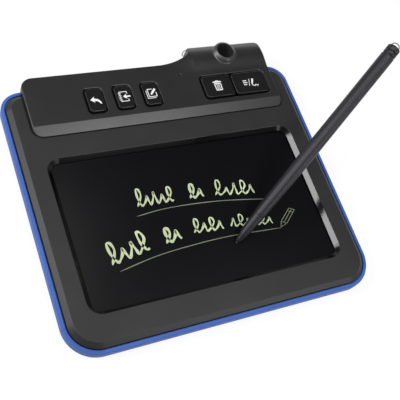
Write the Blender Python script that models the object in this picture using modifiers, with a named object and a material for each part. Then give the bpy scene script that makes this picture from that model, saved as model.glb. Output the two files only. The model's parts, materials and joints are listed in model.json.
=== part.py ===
"""Signature pad: a thin two-shell case with a recessed writing screen, a raised key bar
with a pen holder across its back, and a stylus that stands on the screen as in use.

The frame: X runs from left to right, Y from the user to the back, Z up, in metres.
The origin is the middle of the case's underside.
"""
from math import cos, pi, sin, sqrt

import bmesh
import bpy
from mathutils import Vector

# Clearances and mesh fineness
fit = 0.0003            # between two pieces that touch
overrun = 0.004         # how far a cutter runs past what it cuts
same_place = 0.0000001
corner_steps = 6
edge_steps = 2
round_steps = 28
small_round_steps = 14
wire_steps = 2

# Bottom case: a shallow blue tray
case_width = 0.180
case_depth = 0.1505
case_height = 0.0054
case_wall = 0.0019
case_floor = 0.0015
case_front_radius = 0.018
case_back_radius = 0.012
case_lip_round = 0.0005
case_foot_round = 0.0008

# Top cover: a dark shell that sits inside the tray's wall
cover_groove = 0.0008
cover_slope_run = 0.0028
cover_slope_rise = 0.0023
cover_skin = 0.0016
cover_skirt = 0.0015
cover_step = 0.0025
bezel_side = 0.00935
bezel_front = 0.0130
bezel_back = 0.01345
window_slope_side = 0.0025
window_slope_end = 0.0021
window_radius = 0.0078
screen_radius = 0.0052
frame_wall = 0.0013

# Layers under the window, from the floor up
shield_thickness = 0.0003
digitizer_thickness = 0.0008
panel_thickness = 0.0010
layer_gap = 0.0002
panel_lap = 0.0020
layer_step = 0.0005
panel_radius = 0.0030
fence_wall = 0.0010
fence_height = 0.0021
ribbon_width = 0.012
ribbon_thickness = 0.0003
ribbon_lift = 0.0012

# Rear cover: the key bar, with a hump for the pen holder at its right
bar_inset = 0.0128
bar_overhang = 0.0054
bar_depth = 0.03625
bar_rise = 0.0025
bar_slope_run = 0.00555
bar_seat = 0.0036
bar_wall = 0.0018
bar_skin = 0.0016
bar_edge_round = 0.0006
bar_front_left_radius = 0.0055
bar_front_right_radius = 0.0038
bar_left_radius = 0.0070
bar_right_radius = 0.0050
hump_length = 0.0491
hump_sweep = 0.0231
hump_corner = 0.0016
hump_reach = 0.0114
hump_rise = 0.0018
hump_round = 0.0060
hump_toe = 0.00065
sweep_steps = 10
roof_steps = 5
notch_margin = 0.0027

# Keys, from left to right
key_row_offset = 0.01165
key_pocket_depth = 0.0164
small_pocket_width = 0.0112
small_key_pitch = 0.01685
small_keys_share = 0.204    # of the spare length beside them that lies to their left
wide_pair_right_margin = 0.0052
clear_pocket_width = 0.0204
mode_pocket_width = 0.0239
key_pocket_radius = 0.0026
key_clearance = 0.0008
wide_pair_gap = 0.0010
key_proud = 0.0008
key_top_round = 0.0006
key_lip = 0.0008
key_lip_thickness = 0.0008
key_stroke = 0.0005
stem_radius = 0.0017
pinhole_radius = 0.0006
pinhole_offset = 0.0605     # from the bar's right end
pinhole_behind_keys = 0.0023

# Boards and what they carry
board_thickness = 0.0010
board_stand = 0.0005
key_board_margin = 0.0016
key_board_depth = 0.0164
main_board_width = 0.0160
main_board_offset = 0.0118  # from the bar's left end
main_board_depth = 0.0290
board_spacing = 0.0009
solder_gap = 0.0002
switch_width = 0.0060
switch_height = 0.0020
plunger_radius = 0.0015
plunger_height = 0.0005
reset_width = 0.0034
reset_tab_width = 0.0076
reset_tab_reach = 0.0048
chip_width = 0.0070
chip_height = 0.0009
usb_width = 0.0089
usb_height = 0.0032
usb_length = 0.0073
usb_skin = 0.0003
usb_mouth_depth = 0.0050
usb_tongue_width = 0.0066
usb_tongue_thickness = 0.0007
usb_tongue_length = 0.0042

# Pen holder in the hump
holder_from_right = 0.0268
holder_from_back = 0.0081   # from the crest line of the hump's rear wall
holder_bore = 0.0049
holder_wall = 0.0010
holder_flare = 0.0022
holder_flank = 0.0019
holder_proud = 0.0022
holder_collar = 0.0052
holder_sleeve = 0.0060
holder_bottom = 0.0010

# Tether loop: a steel staple in the hump's left shoulder
loop_wire_radius = 0.0005
loop_leg_spacing = 0.0048
loop_reach = 0.0022
loop_depth = 0.0034
loop_corner = 0.0012
loop_height = 0.0079
loop_share = 0.95           # how far along the sweep it stands

# Screws and feet
screw_head_radius = 0.0021
screw_head_height = 0.0013
screw_shank_radius = 0.0010
screw_length = 0.0046
screw_seat = 0.0019
screw_slot_width = 0.0005
screw_slot_length = 0.0024
screw_slot_depth = 0.0006
post_radius = 0.0034
post_height = 0.0030
boss_radius = 0.0026
pilot_depth = 0.0033
side_screw_inset = 0.0100
side_screw_front = 0.0120
side_screw_middle = 0.0500
side_screw_rear = 0.0355
rear_screw_inset = 0.0010
rear_screw_left = 0.0072
rear_screw_right = 0.0072
rear_screw_middle = 0.0692
foot_radius = 0.0050
foot_pocket = 0.0006
foot_height = 0.0010
foot_round = 0.0004
foot_inset = 0.0200
foot_front = 0.0120
foot_rear = 0.0125

# Pen: the tip's place on the screen, the way the pen leans, and its profile
pen_tip_from_left = 0.1043
pen_tip_from_front = 0.0400
pen_lean = Vector((0.6944, 0.4785, 0.5375)).normalized()
pen_length = 0.1380
nib_radius = 0.00065
nib_show = 0.0012
nib_length = 0.0245
nib_stroke = 0.0004
nose_mouth_radius = 0.00115
nose_length = 0.0200
nose_bore = 0.0022
nose_throat = 0.0080
spigot_length = 0.0050
pen_wall = 0.0009
pen_radius = 0.00393
pen_swell_length = 0.0690
pen_profile_shares = ((0.045, 0.49), (0.10, 0.66), (0.185, 0.775), (0.29, 0.855), (0.48, 0.93), (0.75, 0.98))
coil_radius = 0.0018
coil_length = 0.0110
sensor_radius = 0.0027
sensor_length = 0.0055
core_width = 0.0050
core_thickness = 0.0010
core_length = 0.0700
tail_length = 0.00605
bead_length = 0.0020
tail_groove = 0.0006
groove_length = 0.0003
tail_round = 0.0012
tail_inset = 0.0001
pen_loop_span = 0.0048
pen_loop_rise = 0.0024
pen_loop_wire = 0.00028
pen_loop_depth = 0.0020
arch_steps = 10


# Places that follow from the sizes

left = -case_width / 2
right = case_width / 2
front = -case_depth / 2
back = case_depth / 2
cover_half = right - case_wall - cover_groove
cover_front = front + case_wall + cover_groove
cover_back = back - case_wall - cover_groove
cover_top = case_height + cover_slope_rise

bar_half = right - bar_inset
bar_back = back + bar_overhang
bar_front = bar_back - bar_depth
bar_top = cover_top + bar_rise
bar_floor = cover_top + fit
hump_back = bar_back + hump_reach
hump_left = bar_half - hump_length
sweep_start = hump_left - hump_sweep
crest = hump_back - hump_round

window_half = cover_half - cover_slope_run - bezel_side
window_front = cover_front + cover_slope_run + bezel_front
window_back = bar_front - bezel_back
screen_half = window_half - window_slope_side
screen_front = window_front + window_slope_end
screen_back = window_back - window_slope_end
panel_half = screen_half + panel_lap
panel_front = screen_front - panel_lap
panel_back = screen_back + panel_lap

shield_low = case_floor + layer_gap
digitizer_low = shield_low + shield_thickness + layer_gap
panel_low = digitizer_low + digitizer_thickness + layer_gap
screen_top = panel_low + panel_thickness

key_row = bar_front + bar_slope_run + key_row_offset
roof_toe = key_row + key_pocket_depth / 2 + hump_toe
board_low = case_floor + board_stand + fit
board_top = board_low + board_thickness
switch_top = board_top + solder_gap + switch_height + plunger_height
bar_ceiling = bar_top - bar_skin

holder_x = bar_half - holder_from_right
holder_y = hump_back - holder_from_back
pen_tip = Vector((left + pen_tip_from_left, front + pen_tip_from_front, screen_top + fit))


# Scene, collections and finishes

for thing in list(bpy.data.objects):
    bpy.data.objects.remove(thing, do_unlink=True)


def new_collection(name):
    collection = bpy.data.collections.new(name)
    bpy.context.scene.collection.children.link(collection)
    return collection


parts = new_collection("signature_pad")
cutters = new_collection("cutters")


def finish(name, colour, roughness, metallic=0.0):
    material = bpy.data.materials.new(name)
    material.use_nodes = True
    shader = material.node_tree.nodes["Principled BSDF"]
    shader.inputs["Base Color"].default_value = (*colour, 1.0)
    shader.inputs["Roughness"].default_value = roughness
    shader.inputs["Metallic"].default_value = metallic
    return material


case_blue = finish("case_blue", (0.066, 0.140, 0.390), 0.45)
cover_grey = finish("cover_grey", (0.022, 0.022, 0.023), 0.48)
bar_grey = finish("bar_grey", (0.016, 0.016, 0.017), 0.42)
key_black = finish("key_black", (0.006, 0.006, 0.007), 0.35)
screen_black = finish("screen_black", (0.006, 0.006, 0.007), 0.25)
board_green = finish("board_green", (0.020, 0.120, 0.050), 0.50)
chip_black = finish("chip_black", (0.015, 0.015, 0.016), 0.60)
ribbon_amber = finish("ribbon_amber", (0.450, 0.170, 0.020), 0.40)
steel = finish("steel", (0.620, 0.620, 0.630), 0.25, 1.0)
tin = finish("tin", (0.480, 0.490, 0.500), 0.40, 1.0)
copper = finish("copper", (0.600, 0.230, 0.090), 0.35, 1.0)
rubber = finish("rubber", (0.018, 0.018, 0.018), 0.85)
pen_grey = finish("pen_grey", (0.018, 0.018, 0.021), 0.38)
nib_grey = finish("nib_grey", (0.060, 0.060, 0.065), 0.50)


# Mesh helpers

def add_object(name, bm, collection, place=(0.0, 0.0, 0.0)):
    mesh = bpy.data.meshes.new(name)
    bm.to_mesh(mesh)
    bm.free()
    thing = bpy.data.objects.new(name, mesh)
    thing.location = place
    collection.objects.link(thing)
    return thing


def add_part(name, bm, material, place=(0.0, 0.0, 0.0)):
    part = add_object(name, bm, parts, place)
    part.data.materials.append(material)
    return part


def add_cutter(name, bm, place=(0.0, 0.0, 0.0)):
    cutter = add_object(name, bm, cutters, place)
    cutter.hide_render = True
    cutter.display_type = "WIRE"
    return cutter


def combine(target, operation, tools):
    for tool in tools:
        modifier = target.modifiers.new(tool.name, "BOOLEAN")
        modifier.operation = operation
        modifier.solver = "EXACT"
        modifier.object = tool


def cut(target, *tools):
    combine(target, "DIFFERENCE", tools)


def join(target, *tools):
    combine(target, "UNION", tools)


def box_between(bm, low, high):
    low, high = Vector(low), Vector(high)
    corners = bmesh.ops.create_cube(bm, size=1)["verts"]
    bmesh.ops.scale(bm, vec=high - low, verts=corners)
    bmesh.ops.translate(bm, vec=(low + high) / 2, verts=corners)


def rod_between(bm, x, y, low, high, radius, steps=small_round_steps):
    rod = bmesh.ops.create_cone(
        bm, cap_ends=True, segments=steps, radius1=radius, radius2=radius, depth=high - low)["verts"]
    bmesh.ops.translate(bm, vec=(x, y, (low + high) / 2), verts=rod)


def boxes(*pairs):
    bm = bmesh.new()
    for low, high in pairs:
        box_between(bm, low, high)
    return bm


def rods(places, low, high, radius, steps=small_round_steps):
    bm = bmesh.new()
    for x, y in places:
        rod_between(bm, x, y, low, high, radius, steps)
    return bm


def upright_edges(bm, side):
    return [edge for edge in bm.edges
            if (edge.verts[0].co.xy - edge.verts[1].co.xy).length < same_place
            and side * edge.verts[0].co.y > 0]


def rim_edges(bm, level):
    return [edge for edge in bm.edges if all(abs(v.co.z - level) < same_place for v in edge.verts)]


def bevel(bm, edges, width, steps):
    bmesh.ops.bevel(bm, geom=edges, offset=width, offset_type="OFFSET", segments=steps,
                    profile=0.5, affect="EDGES", clamp_overlap=True)


def plate(low, high, front_radius, back_radius=None, top_round=0.0, bottom_round=0.0):
    """A block with rounded upright corners, centred on its own origin, and its centre's place."""
    low, high = Vector(low), Vector(high)
    size = high - low
    if back_radius is None:
        back_radius = front_radius
    bm = bmesh.new()
    bmesh.ops.create_cube(bm, size=1)
    bmesh.ops.scale(bm, vec=size, verts=bm.verts)
    bevel(bm, upright_edges(bm, -1), front_radius, corner_steps)
    bevel(bm, upright_edges(bm, 1), back_radius, corner_steps)
    if top_round > 0:
        bevel(bm, rim_edges(bm, size.z / 2), top_round, edge_steps)
    if bottom_round > 0:
        bevel(bm, rim_edges(bm, -size.z / 2), bottom_round, edge_steps)
    return bm, (low + high) / 2


def turned(name, outline, material, place=(0.0, 0.0, 0.0), steps=round_steps):
    """A shape turned about Z. The outline's (radius, height) points run down its outer side."""
    bm = bmesh.new()
    points = [bm.verts.new((radius, 0.0, height)) for radius, height in outline]
    for first, second in zip(points, points[1:]):
        bm.edges.new((first, second))
    if outline[0][0] > 0:
        bm.edges.new((points[-1], points[0]))
    part = add_part(name, bm, material, place)
    screw = part.modifiers.new("turn", "SCREW")
    screw.axis = "Z"
    screw.angle = 2 * pi
    screw.steps = steps
    screw.render_steps = steps
    screw.use_merge_vertices = True
    screw.merge_threshold = same_place
    screw.use_smooth_shade = True
    return part


def lofted(sections):
    """A closed mesh through sections that all have the same number of points."""
    bm = bmesh.new()
    rings = [[bm.verts.new(point) for point in section] for section in sections]
    for ring, after in zip(rings, rings[1:]):
        for i in range(len(ring)):
            j = (i + 1) % len(ring)
            bm.faces.new((ring[i], ring[j], after[j], after[i]))
    bm.faces.new(rings[0])
    bm.faces.new(reversed(rings[-1]))
    bmesh.ops.recalc_face_normals(bm, faces=bm.faces)
    return bm


# The rear cover's outline, shared by the cover, its cavity and the case's tongue

def drawn_in(distance, radius):
    """How far a rounded corner draws the outline in, at this distance from the end."""
    if distance >= radius:
        return 0.0
    return radius - sqrt(radius ** 2 - (radius - distance) ** 2)


def sweep_share(x):
    """0 on the plain bar and 1 on the hump."""
    return min(max((x - sweep_start) / hump_sweep, 0.0), 1.0)


def back_line(x):
    """The plain bar's back edge, then a hollow sweep out to the hump's rounded left corner."""
    sweep_reach = hump_reach - hump_corner
    if x > hump_left:
        return hump_back - drawn_in(x - hump_left, hump_corner)
    return bar_back + sweep_reach * (1 - sqrt(1 - sweep_share(x) ** 2))


def roof(x, y, edge_y):
    """Height of the rear cover's top at a place, where the wall below it stands at edge_y."""
    along = sweep_share(x)
    across = min(max((y - roof_toe) / (crest - roof_toe), 0.0), 1.0)
    height = bar_top + hump_rise * along ** 2 * across ** 2 * (3 - 2 * across)
    if y > crest:
        height -= hump_round - sqrt(max(hump_round ** 2 - (y - crest) ** 2, 0.0))
    return height - drawn_in(max(edge_y - y, 0.0), bar_edge_round) * (1 - along)


def columns(inset):
    """The X of each section, closest together round the corners and up the sweep."""
    turn = [step / corner_steps * pi / 2 for step in range(corner_steps + 1)]
    low, high = -bar_half + inset, bar_half - inset
    places = [low + bar_left_radius * (1 - cos(angle)) for angle in turn]
    places += [sweep_start + inset + hump_sweep * sin(step / sweep_steps * pi / 2)
               for step in range(sweep_steps + 1)]
    places += [hump_left + inset + hump_corner * (1 - cos(angle)) for angle in turn[1:]]
    places += [high - bar_right_radius * (1 - cos(angle)) for angle in reversed(turn)]
    return places


def wall_lines(x, inset):
    """How far the corners draw in at the front and the back, and the back wall's Y."""
    from_left = x + bar_half - inset
    from_right = bar_half - inset - x
    end = max(min(from_left, from_right), 0.0)
    on_left = from_left < from_right
    front_radius = bar_front_left_radius if on_left else bar_front_right_radius
    back_radius = bar_left_radius if on_left else bar_right_radius
    wall = back_line(x - inset) - inset - drawn_in(end, back_radius)
    return end, drawn_in(end, front_radius), wall


def rear_section(x, inset, seat, drop, bottom):
    """One slice of the rear cover, or of the hollow that lies inset and drop inside it."""
    end, nose, wall = wall_lines(x, inset)
    lip = drawn_in(end, bar_edge_round)
    slope = (bar_top - bar_floor) / bar_slope_run
    start = bar_front + seat + nose
    foot = min(bar_floor + (seat + nose) * slope, bar_top - lip) - drop
    if seat > 0:
        foot = max(foot, bar_floor)
    points = [(x, start, bottom), (x, start, foot)]
    brow = max(bar_front + bar_slope_run, start + same_place)
    points.append((x, brow, bar_top - drop - lip))
    shoulder = min(crest, wall - bar_edge_round)
    for step in range(roof_steps + 1):
        y = roof_toe + (shoulder - roof_toe) * step / roof_steps
        points.append((x, y, roof(x, y, wall) - drop - lip))
    for step in range(1, corner_steps + 1):
        y = shoulder + (wall - shoulder) * sin(step / corner_steps * pi / 2)
        points.append((x, y, roof(x, y, wall) - drop - lip))
    points.append((x, wall, bottom))
    return points


def tongue_section(x, inset):
    wall = wall_lines(x, inset)[2]
    start = back - case_wall - overrun
    return [(x, start, 0.0), (x, start, case_floor), (x, wall, case_floor), (x, wall, 0.0)]


# Screw and foot places

side_screws = [(sign * (right - side_screw_inset), y) for sign in (-1, 1)
               for y in (front + side_screw_front, front + side_screw_front + side_screw_middle,
                         back - side_screw_rear)]
rear_screws = [(x, back - rear_screw_inset) for x in
               (-bar_half + rear_screw_left, bar_half - rear_screw_middle, bar_half - rear_screw_right)]
feet = [(sign * (right - foot_inset), y) for sign in (-1, 1) for y in (front + foot_front, back - foot_rear)]

key_board_right = bar_half - bar_wall - key_board_margin
key_board_front = key_row - key_board_depth / 2
main_board_left = -bar_half + main_board_offset
key_board_left = main_board_left + main_board_width + board_spacing
main_board_front = bar_back - bar_wall - fit - main_board_depth
usb_x = main_board_left + main_board_width / 2
pinhole_x = bar_half - pinhole_offset
pinhole_y = key_row + key_pocket_depth / 2 + pinhole_behind_keys

# Keys as (name, left, right): each key's part of the bar between its pocket's walls
pair_right = bar_half - wide_pair_right_margin
pair_middle = pair_right - mode_pocket_width
pair_left = pair_middle - clear_pocket_width
wide_keys = [("clear", pair_left, pair_middle), ("mode", pair_middle, pair_right)]
small_names = ("undo", "import", "note")
leftmost = key_board_left + switch_width / 2
rightmost = pair_left - 2 * key_lip - small_pocket_width / 2 - (len(small_names) - 1) * small_key_pitch
first_key = leftmost + (rightmost - leftmost) * small_keys_share
small_keys = [(name, first_key + small_key_pitch * i - small_pocket_width / 2,
               first_key + small_key_pitch * i + small_pocket_width / 2)
              for i, name in enumerate(small_names)]


def build_bottom_case():
    bm, place = plate((left, front, 0), (right, back, case_height), case_front_radius, case_back_radius,
                      case_lip_round, case_foot_round)
    case = add_part("bottom_case", bm, case_blue, place)
    inner = case_wall
    hollow, place = plate(
        (left + inner, front + inner, case_floor), (right - inner, back - inner, case_height + overrun),
        case_front_radius - inner, case_back_radius - inner)
    cut(case, add_cutter("tray_hollow", hollow, place))
    notch = bar_half - notch_margin
    cut(case, add_cutter("rear_notch", boxes(
        ((-notch, back - case_wall - overrun, case_floor), (notch, back + overrun, case_height + overrun)))))
    inset = bar_wall + fit
    tongue = lofted([tongue_section(x, inset) for x in columns(inset)])
    join(case, add_cutter("tongue", tongue))

    gap, wall = fit, fence_wall
    fence, place = plate((-panel_half - gap - wall, panel_front - gap - wall, case_floor - fit),
                         (panel_half + gap + wall, panel_back + gap + wall, case_floor + fence_height),
                         panel_radius + gap + wall)
    fence_tool = add_cutter("fence", fence, place)
    space, place = plate((-panel_half - gap, panel_front - gap, case_floor - overrun),
                         (panel_half + gap, panel_back + gap, case_floor + fence_height + overrun),
                         panel_radius + gap)
    cut(fence_tool, add_cutter("fence_space", space, place))
    gate = ribbon_width / 2 + fit
    cut(fence_tool, add_cutter("ribbon_gate", boxes(
        ((usb_x - gate, panel_back - fit, case_floor - overrun),
         (usb_x + gate, panel_back + overrun, case_floor + fence_height + overrun)))))
    join(case, fence_tool)

    posts = rods(side_screws + rear_screws, case_floor - fit, post_height, post_radius)
    join(case, add_cutter("posts", posts))
    pad_low, pad_high = case_floor - fit, case_floor + board_stand
    pad = key_board_margin
    pads = [((x, y, pad_low), (x + 2 * pad, y + pad, pad_high))
            for x in (key_board_left + pad, pinhole_x - pad, key_board_right - 3 * pad)
            for y in (key_board_front + pad, key_board_front + key_board_depth - 2 * pad)]
    pads += [((main_board_left + pad, y, pad_low), (main_board_left + main_board_width - pad, y + pad, pad_high))
             for y in (main_board_front + pad, main_board_front + main_board_depth / 2)]
    join(case, add_cutter("board_pads", boxes(*pads)))

    heads = rods(side_screws + rear_screws, -overrun, screw_seat, screw_head_radius + fit)
    shanks = rods(side_screws + rear_screws, -overrun, post_height + overrun, screw_shank_radius + fit)
    pockets = rods(feet, -overrun, foot_pocket, foot_radius, round_steps)
    cut(case, add_cutter("head_holes", heads), add_cutter("shank_holes", shanks),
        add_cutter("foot_pockets", pockets))


def build_top_cover():
    low = case_floor + fit
    bm, place = plate((-cover_half, cover_front, low), (cover_half, cover_back, case_height),
                      case_front_radius - case_wall - cover_groove, case_back_radius - case_wall - cover_groove)
    top = [face for face in bm.faces if face.normal.z > 1 - same_place]
    bmesh.ops.inset_region(bm, faces=top, thickness=cover_slope_run, depth=cover_slope_rise,
                           use_even_offset=True)
    cover = add_part("top_cover", bm, cover_grey, place)

    wide = cover_skirt
    hollow, place = plate(
        (-cover_half + wide, cover_front + wide, low - overrun),
        (cover_half - wide, cover_back - wide, case_height - cover_groove),
        case_front_radius - case_wall - cover_groove - wide, case_back_radius - case_wall - cover_groove - wide)
    narrow = cover_skirt + cover_step
    ceiling, place_2 = plate(
        (-cover_half + narrow, cover_front + narrow, low - overrun),
        (cover_half - narrow, cover_back - narrow, cover_top - cover_skin),
        case_front_radius - case_wall - cover_groove - narrow, case_back_radius - case_wall - cover_groove - narrow)
    cut(cover, add_cutter("cover_hollow", hollow, place), add_cutter("cover_ceiling", ceiling, place_2))

    frame, place = plate(
        (-window_half - frame_wall, window_front - frame_wall, screen_top + fit),
        (window_half + frame_wall, window_back + frame_wall, cover_top - cover_skin / 2),
        window_radius + frame_wall)
    bosses = rods(side_screws, post_height + fit, cover_top - cover_skin / 2, boss_radius)
    join(cover, add_cutter("window_frame", frame, place), add_cutter("cover_bosses", bosses))

    cut(cover, add_cutter("window", lofted([
        window_ring(screen_half, screen_front, screen_back, screen_radius, screen_top - overrun),
        window_ring(screen_half, screen_front, screen_back, screen_radius, screen_top + fit),
        window_ring(window_half, window_front, window_back, window_radius, cover_top),
        window_ring(window_half, window_front, window_back, window_radius, cover_top + overrun)])))
    opening = bar_half - notch_margin
    cut(cover, add_cutter("deck_opening", boxes(
        ((-opening, bar_front + bar_seat, -overrun), (opening, back + overrun, cover_top + overrun)))))
    pilots = rods(side_screws, 0, post_height + fit + pilot_depth, screw_shank_radius + fit)
    cut(cover, add_cutter("cover_pilots", pilots))


def window_ring(half, low_y, high_y, radius, z):
    """A rounded rectangle at height z, as points that run round it."""
    points = []
    for turn, (x, y) in enumerate(((half, high_y), (-half, high_y), (-half, low_y), (half, low_y))):
        centre_x = x - radius if x > 0 else x + radius
        centre_y = y - radius if y == high_y else y + radius
        for step in range(corner_steps + 1):
            angle = (turn + step / corner_steps) * pi / 2
            points.append((centre_x + radius * cos(angle), centre_y + radius * sin(angle), z))
    return points


def key_pocket(name, x_low, x_high, low, high):
    bm, place = plate((x_low, key_row - key_pocket_depth / 2, low), (x_high, key_row + key_pocket_depth / 2, high),
                      key_pocket_radius)
    return add_cutter(name, bm, place)


def build_rear_cover():
    sections = [rear_section(x, 0.0, 0.0, 0.0, 0.0) for x in columns(0.0)]
    cover = add_part("rear_cover", lofted(sections), bar_grey)
    sections = [rear_section(x, bar_wall, bar_seat, bar_skin, -overrun) for x in columns(bar_wall)]
    cut(cover, add_cutter("bar_hollow", lofted(sections)))
    beyond = right + overrun
    cut(cover,
        add_cutter("over_case", boxes(((-beyond, front, -overrun), (beyond, back + fit, case_height + fit)))),
        add_cutter("over_cover", boxes(((-beyond, front, -overrun), (beyond, cover_back + fit, bar_floor)))))
    bosses = rods(rear_screws, post_height + fit, bar_top - bar_skin / 2, boss_radius)
    join(cover, add_cutter("bar_bosses", bosses))

    low, high = bar_ceiling - overrun, bar_top + overrun
    for name, x_low, x_high in small_keys:
        cut(cover, key_pocket(name + "_pocket", x_low, x_high, low, high))
    cut(cover, key_pocket("pair_pocket", pair_left, pair_right, low, high))
    cut(cover, add_cutter("pinhole", rods([(pinhole_x, pinhole_y)], low, high, pinhole_radius)))
    pilots = rods(rear_screws, 0, post_height + fit + pilot_depth, screw_shank_radius + fit)
    cut(cover, add_cutter("bar_pilots", pilots))

    collar = rods([(holder_x, holder_y)], roof(holder_x, holder_y, hump_back) - holder_collar,
                  roof(holder_x, holder_y, hump_back) + overrun, holder_bore + holder_flare + fit, round_steps)
    cut(cover, add_cutter("holder_hole", collar))
    mouth, place = plate(
        (usb_x - usb_width / 2 - fit, bar_back - bar_wall - overrun, board_top + solder_gap - fit),
        (usb_x + usb_width / 2 + fit, bar_back + overrun, board_top + solder_gap + usb_height + fit), fit)
    cut(cover, add_cutter("usb_hole", mouth, place))
    for sign in (-1, 1):
        cut(cover, loop_leg_hole(sign))


def loop_frame():
    """The staple's middle on the sweep's wall, and the wall's outward and sideways directions."""
    x = sweep_start + hump_sweep * loop_share
    middle = Vector((x, back_line(x), loop_height))
    span = loop_leg_spacing / 2
    along = Vector((2 * span, back_line(x + span) - back_line(x - span), 0.0)).normalized()
    out = Vector((-along.y, along.x, 0.0))
    return middle, along, out


def loop_leg_hole(sign):
    middle, along, out = loop_frame()
    bm = bmesh.new()
    radius = loop_wire_radius + fit
    bmesh.ops.create_cone(bm, cap_ends=True, segments=small_round_steps, radius1=radius, radius2=radius,
                          depth=2 * loop_depth)
    hole = add_cutter("leg_hole", bm, middle + along * sign * loop_leg_spacing / 2)
    hole.rotation_mode = "QUATERNION"
    hole.rotation_quaternion = out.to_track_quat("Z", "Y")
    return hole


def tube_along(name, points, radius, material):
    """A wire along hand-worked points, made a mesh with its end caps welded."""
    curve = bpy.data.curves.new(name + "_path", "CURVE")
    curve.dimensions = "3D"
    curve.bevel_depth = radius
    curve.bevel_resolution = wire_steps
    curve.use_fill_caps = True
    spline = curve.splines.new("POLY")
    spline.points.add(len(points) - 1)
    for point, place in zip(spline.points, points):
        point.co = (*place, 1.0)
    guide = bpy.data.objects.new(name + "_path", curve)
    parts.objects.link(guide)
    bpy.context.view_layer.update()
    evaluated = guide.evaluated_get(bpy.context.evaluated_depsgraph_get())
    mesh = bpy.data.meshes.new_from_object(evaluated)
    bm = bmesh.new()
    bm.from_mesh(mesh)
    bmesh.ops.remove_doubles(bm, verts=bm.verts, dist=same_place)
    bpy.data.objects.remove(guide, do_unlink=True)
    wire = add_part(name, bm, material)
    wire.data.shade_smooth()
    return wire


def build_tether_loop():
    middle, along, out = loop_frame()
    half = loop_leg_spacing / 2
    points = []
    for sign, angles in ((-1, range(corner_steps + 1)), (1, range(corner_steps, -1, -1))):
        centre = along * sign * (half - loop_corner) + out * (loop_reach - loop_corner)
        bend = []
        for step in angles:
            angle = step / corner_steps * pi / 2
            bend.append(middle + centre + along * sign * loop_corner * cos(angle) + out * loop_corner * sin(angle))
        leg = middle + along * sign * half - out * loop_depth
        points += [leg] + bend if sign < 0 else bend + [leg]
    tube_along("tether_loop", points, loop_wire_radius, steel)


def build_screen_stack():
    for name, material, low, thickness, step in (
            ("lcd_panel", screen_black, panel_low, panel_thickness, 0.0),
            ("digitizer_board", board_green, digitizer_low, digitizer_thickness, layer_step),
            ("shield_plate", tin, shield_low, shield_thickness, 2 * layer_step)):
        bm, place = plate((-panel_half + step, panel_front + step, low),
                          (panel_half - step, panel_back - step, low + thickness), panel_radius - step)
        add_part(name, bm, material, place)
    half = ribbon_width / 2
    low = case_floor + ribbon_lift
    add_part("ribbon_cable", boxes(((usb_x - half, panel_back - layer_step + fit, low),
                                    (usb_x + half, main_board_front - fit, low + ribbon_thickness))), ribbon_amber)


def build_boards():
    bm, place = plate((key_board_left, key_board_front, board_low),
                      (key_board_right, key_board_front + key_board_depth, board_top), key_board_margin)
    key_board = add_part("key_board", bm, board_green, place)
    half = reset_tab_width / 2
    edge = key_board_front + key_board_depth
    tab = boxes(((pinhole_x - half, edge - key_board_margin, board_low),
                 (pinhole_x + half, edge + reset_tab_reach, board_top)))
    join(key_board, add_cutter("reset_tab", tab))
    bm, place = plate((main_board_left, main_board_front, board_low),
                      (main_board_left + main_board_width, main_board_front + main_board_depth, board_top),
                      key_board_margin)
    add_part("main_board", bm, board_green, place)
    bm, place = plate((usb_x - chip_width / 2, main_board_front + chip_width, board_top + solder_gap),
                      (usb_x + chip_width / 2, main_board_front + 2 * chip_width,
                       board_top + solder_gap + chip_height), fit)
    add_part("controller_chip", bm, chip_black, place)


def add_switch(name, x, y, width):
    low = board_top + solder_gap
    bm, place = plate((x - width / 2, y - width / 2, low), (x + width / 2, y + width / 2, low + switch_height), fit)
    switch = add_part(name, bm, tin, place)
    plunger = rods([(x, y)], low + switch_height - fit, switch_top, min(plunger_radius, width / 3))
    join(switch, add_cutter(name + "_plunger", plunger))


def build_usb_socket():
    low = board_top + solder_gap
    mouth = bar_back - fit
    bm, place = plate((usb_x - usb_width / 2, mouth - usb_length, low), (usb_x + usb_width / 2, mouth, low + usb_height),
                      fit)
    socket = add_part("usb_socket", bm, tin, place)
    skin = usb_skin
    cut(socket, add_cutter("usb_mouth", boxes(
        ((usb_x - usb_width / 2 + skin, mouth - usb_mouth_depth, low + skin),
         (usb_x + usb_width / 2 - skin, mouth + overrun, low + usb_height - skin)))))
    middle = low + usb_height / 2
    half = usb_tongue_thickness / 2
    join(socket, add_cutter("usb_tongue", boxes(
        ((usb_x - usb_tongue_width / 2, mouth - usb_mouth_depth - skin, middle - half),
         (usb_x + usb_tongue_width / 2, mouth - usb_mouth_depth + usb_tongue_length, middle + half)))))


def build_key(name, x_low, x_high, lip_left, lip_right):
    """A key cap with a lip that catches under the bar, and a stem over its switch."""
    gap = key_clearance
    x_low += gap if lip_left else wide_pair_gap / 2
    x_high -= gap if lip_right else wide_pair_gap / 2
    y_low, y_high = key_row - key_pocket_depth / 2 + gap, key_row + key_pocket_depth / 2 - gap
    lip_top = bar_ceiling - fit
    bm, place = plate((x_low, y_low, lip_top - key_lip_thickness / 2), (x_high, y_high, bar_top + key_proud),
                      key_pocket_radius - gap, None, key_top_round)
    key = add_part(name + "_key", bm, key_black, place)
    reach = gap + key_lip
    lip, place = plate(
        (x_low - (reach if lip_left else 0), y_low - reach, lip_top - key_lip_thickness),
        (x_high + (reach if lip_right else 0), y_high + reach, lip_top), key_pocket_radius)
    x = (x_low + x_high) / 2
    stem = rods([(x, key_row)], switch_top + key_stroke + layer_gap, lip_top - key_lip_thickness / 2,
                stem_radius, round_steps)
    join(key, add_cutter(name + "_lip", lip, place), add_cutter(name + "_stem", stem))
    add_switch(name + "_switch", x, key_row, switch_width)


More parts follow.
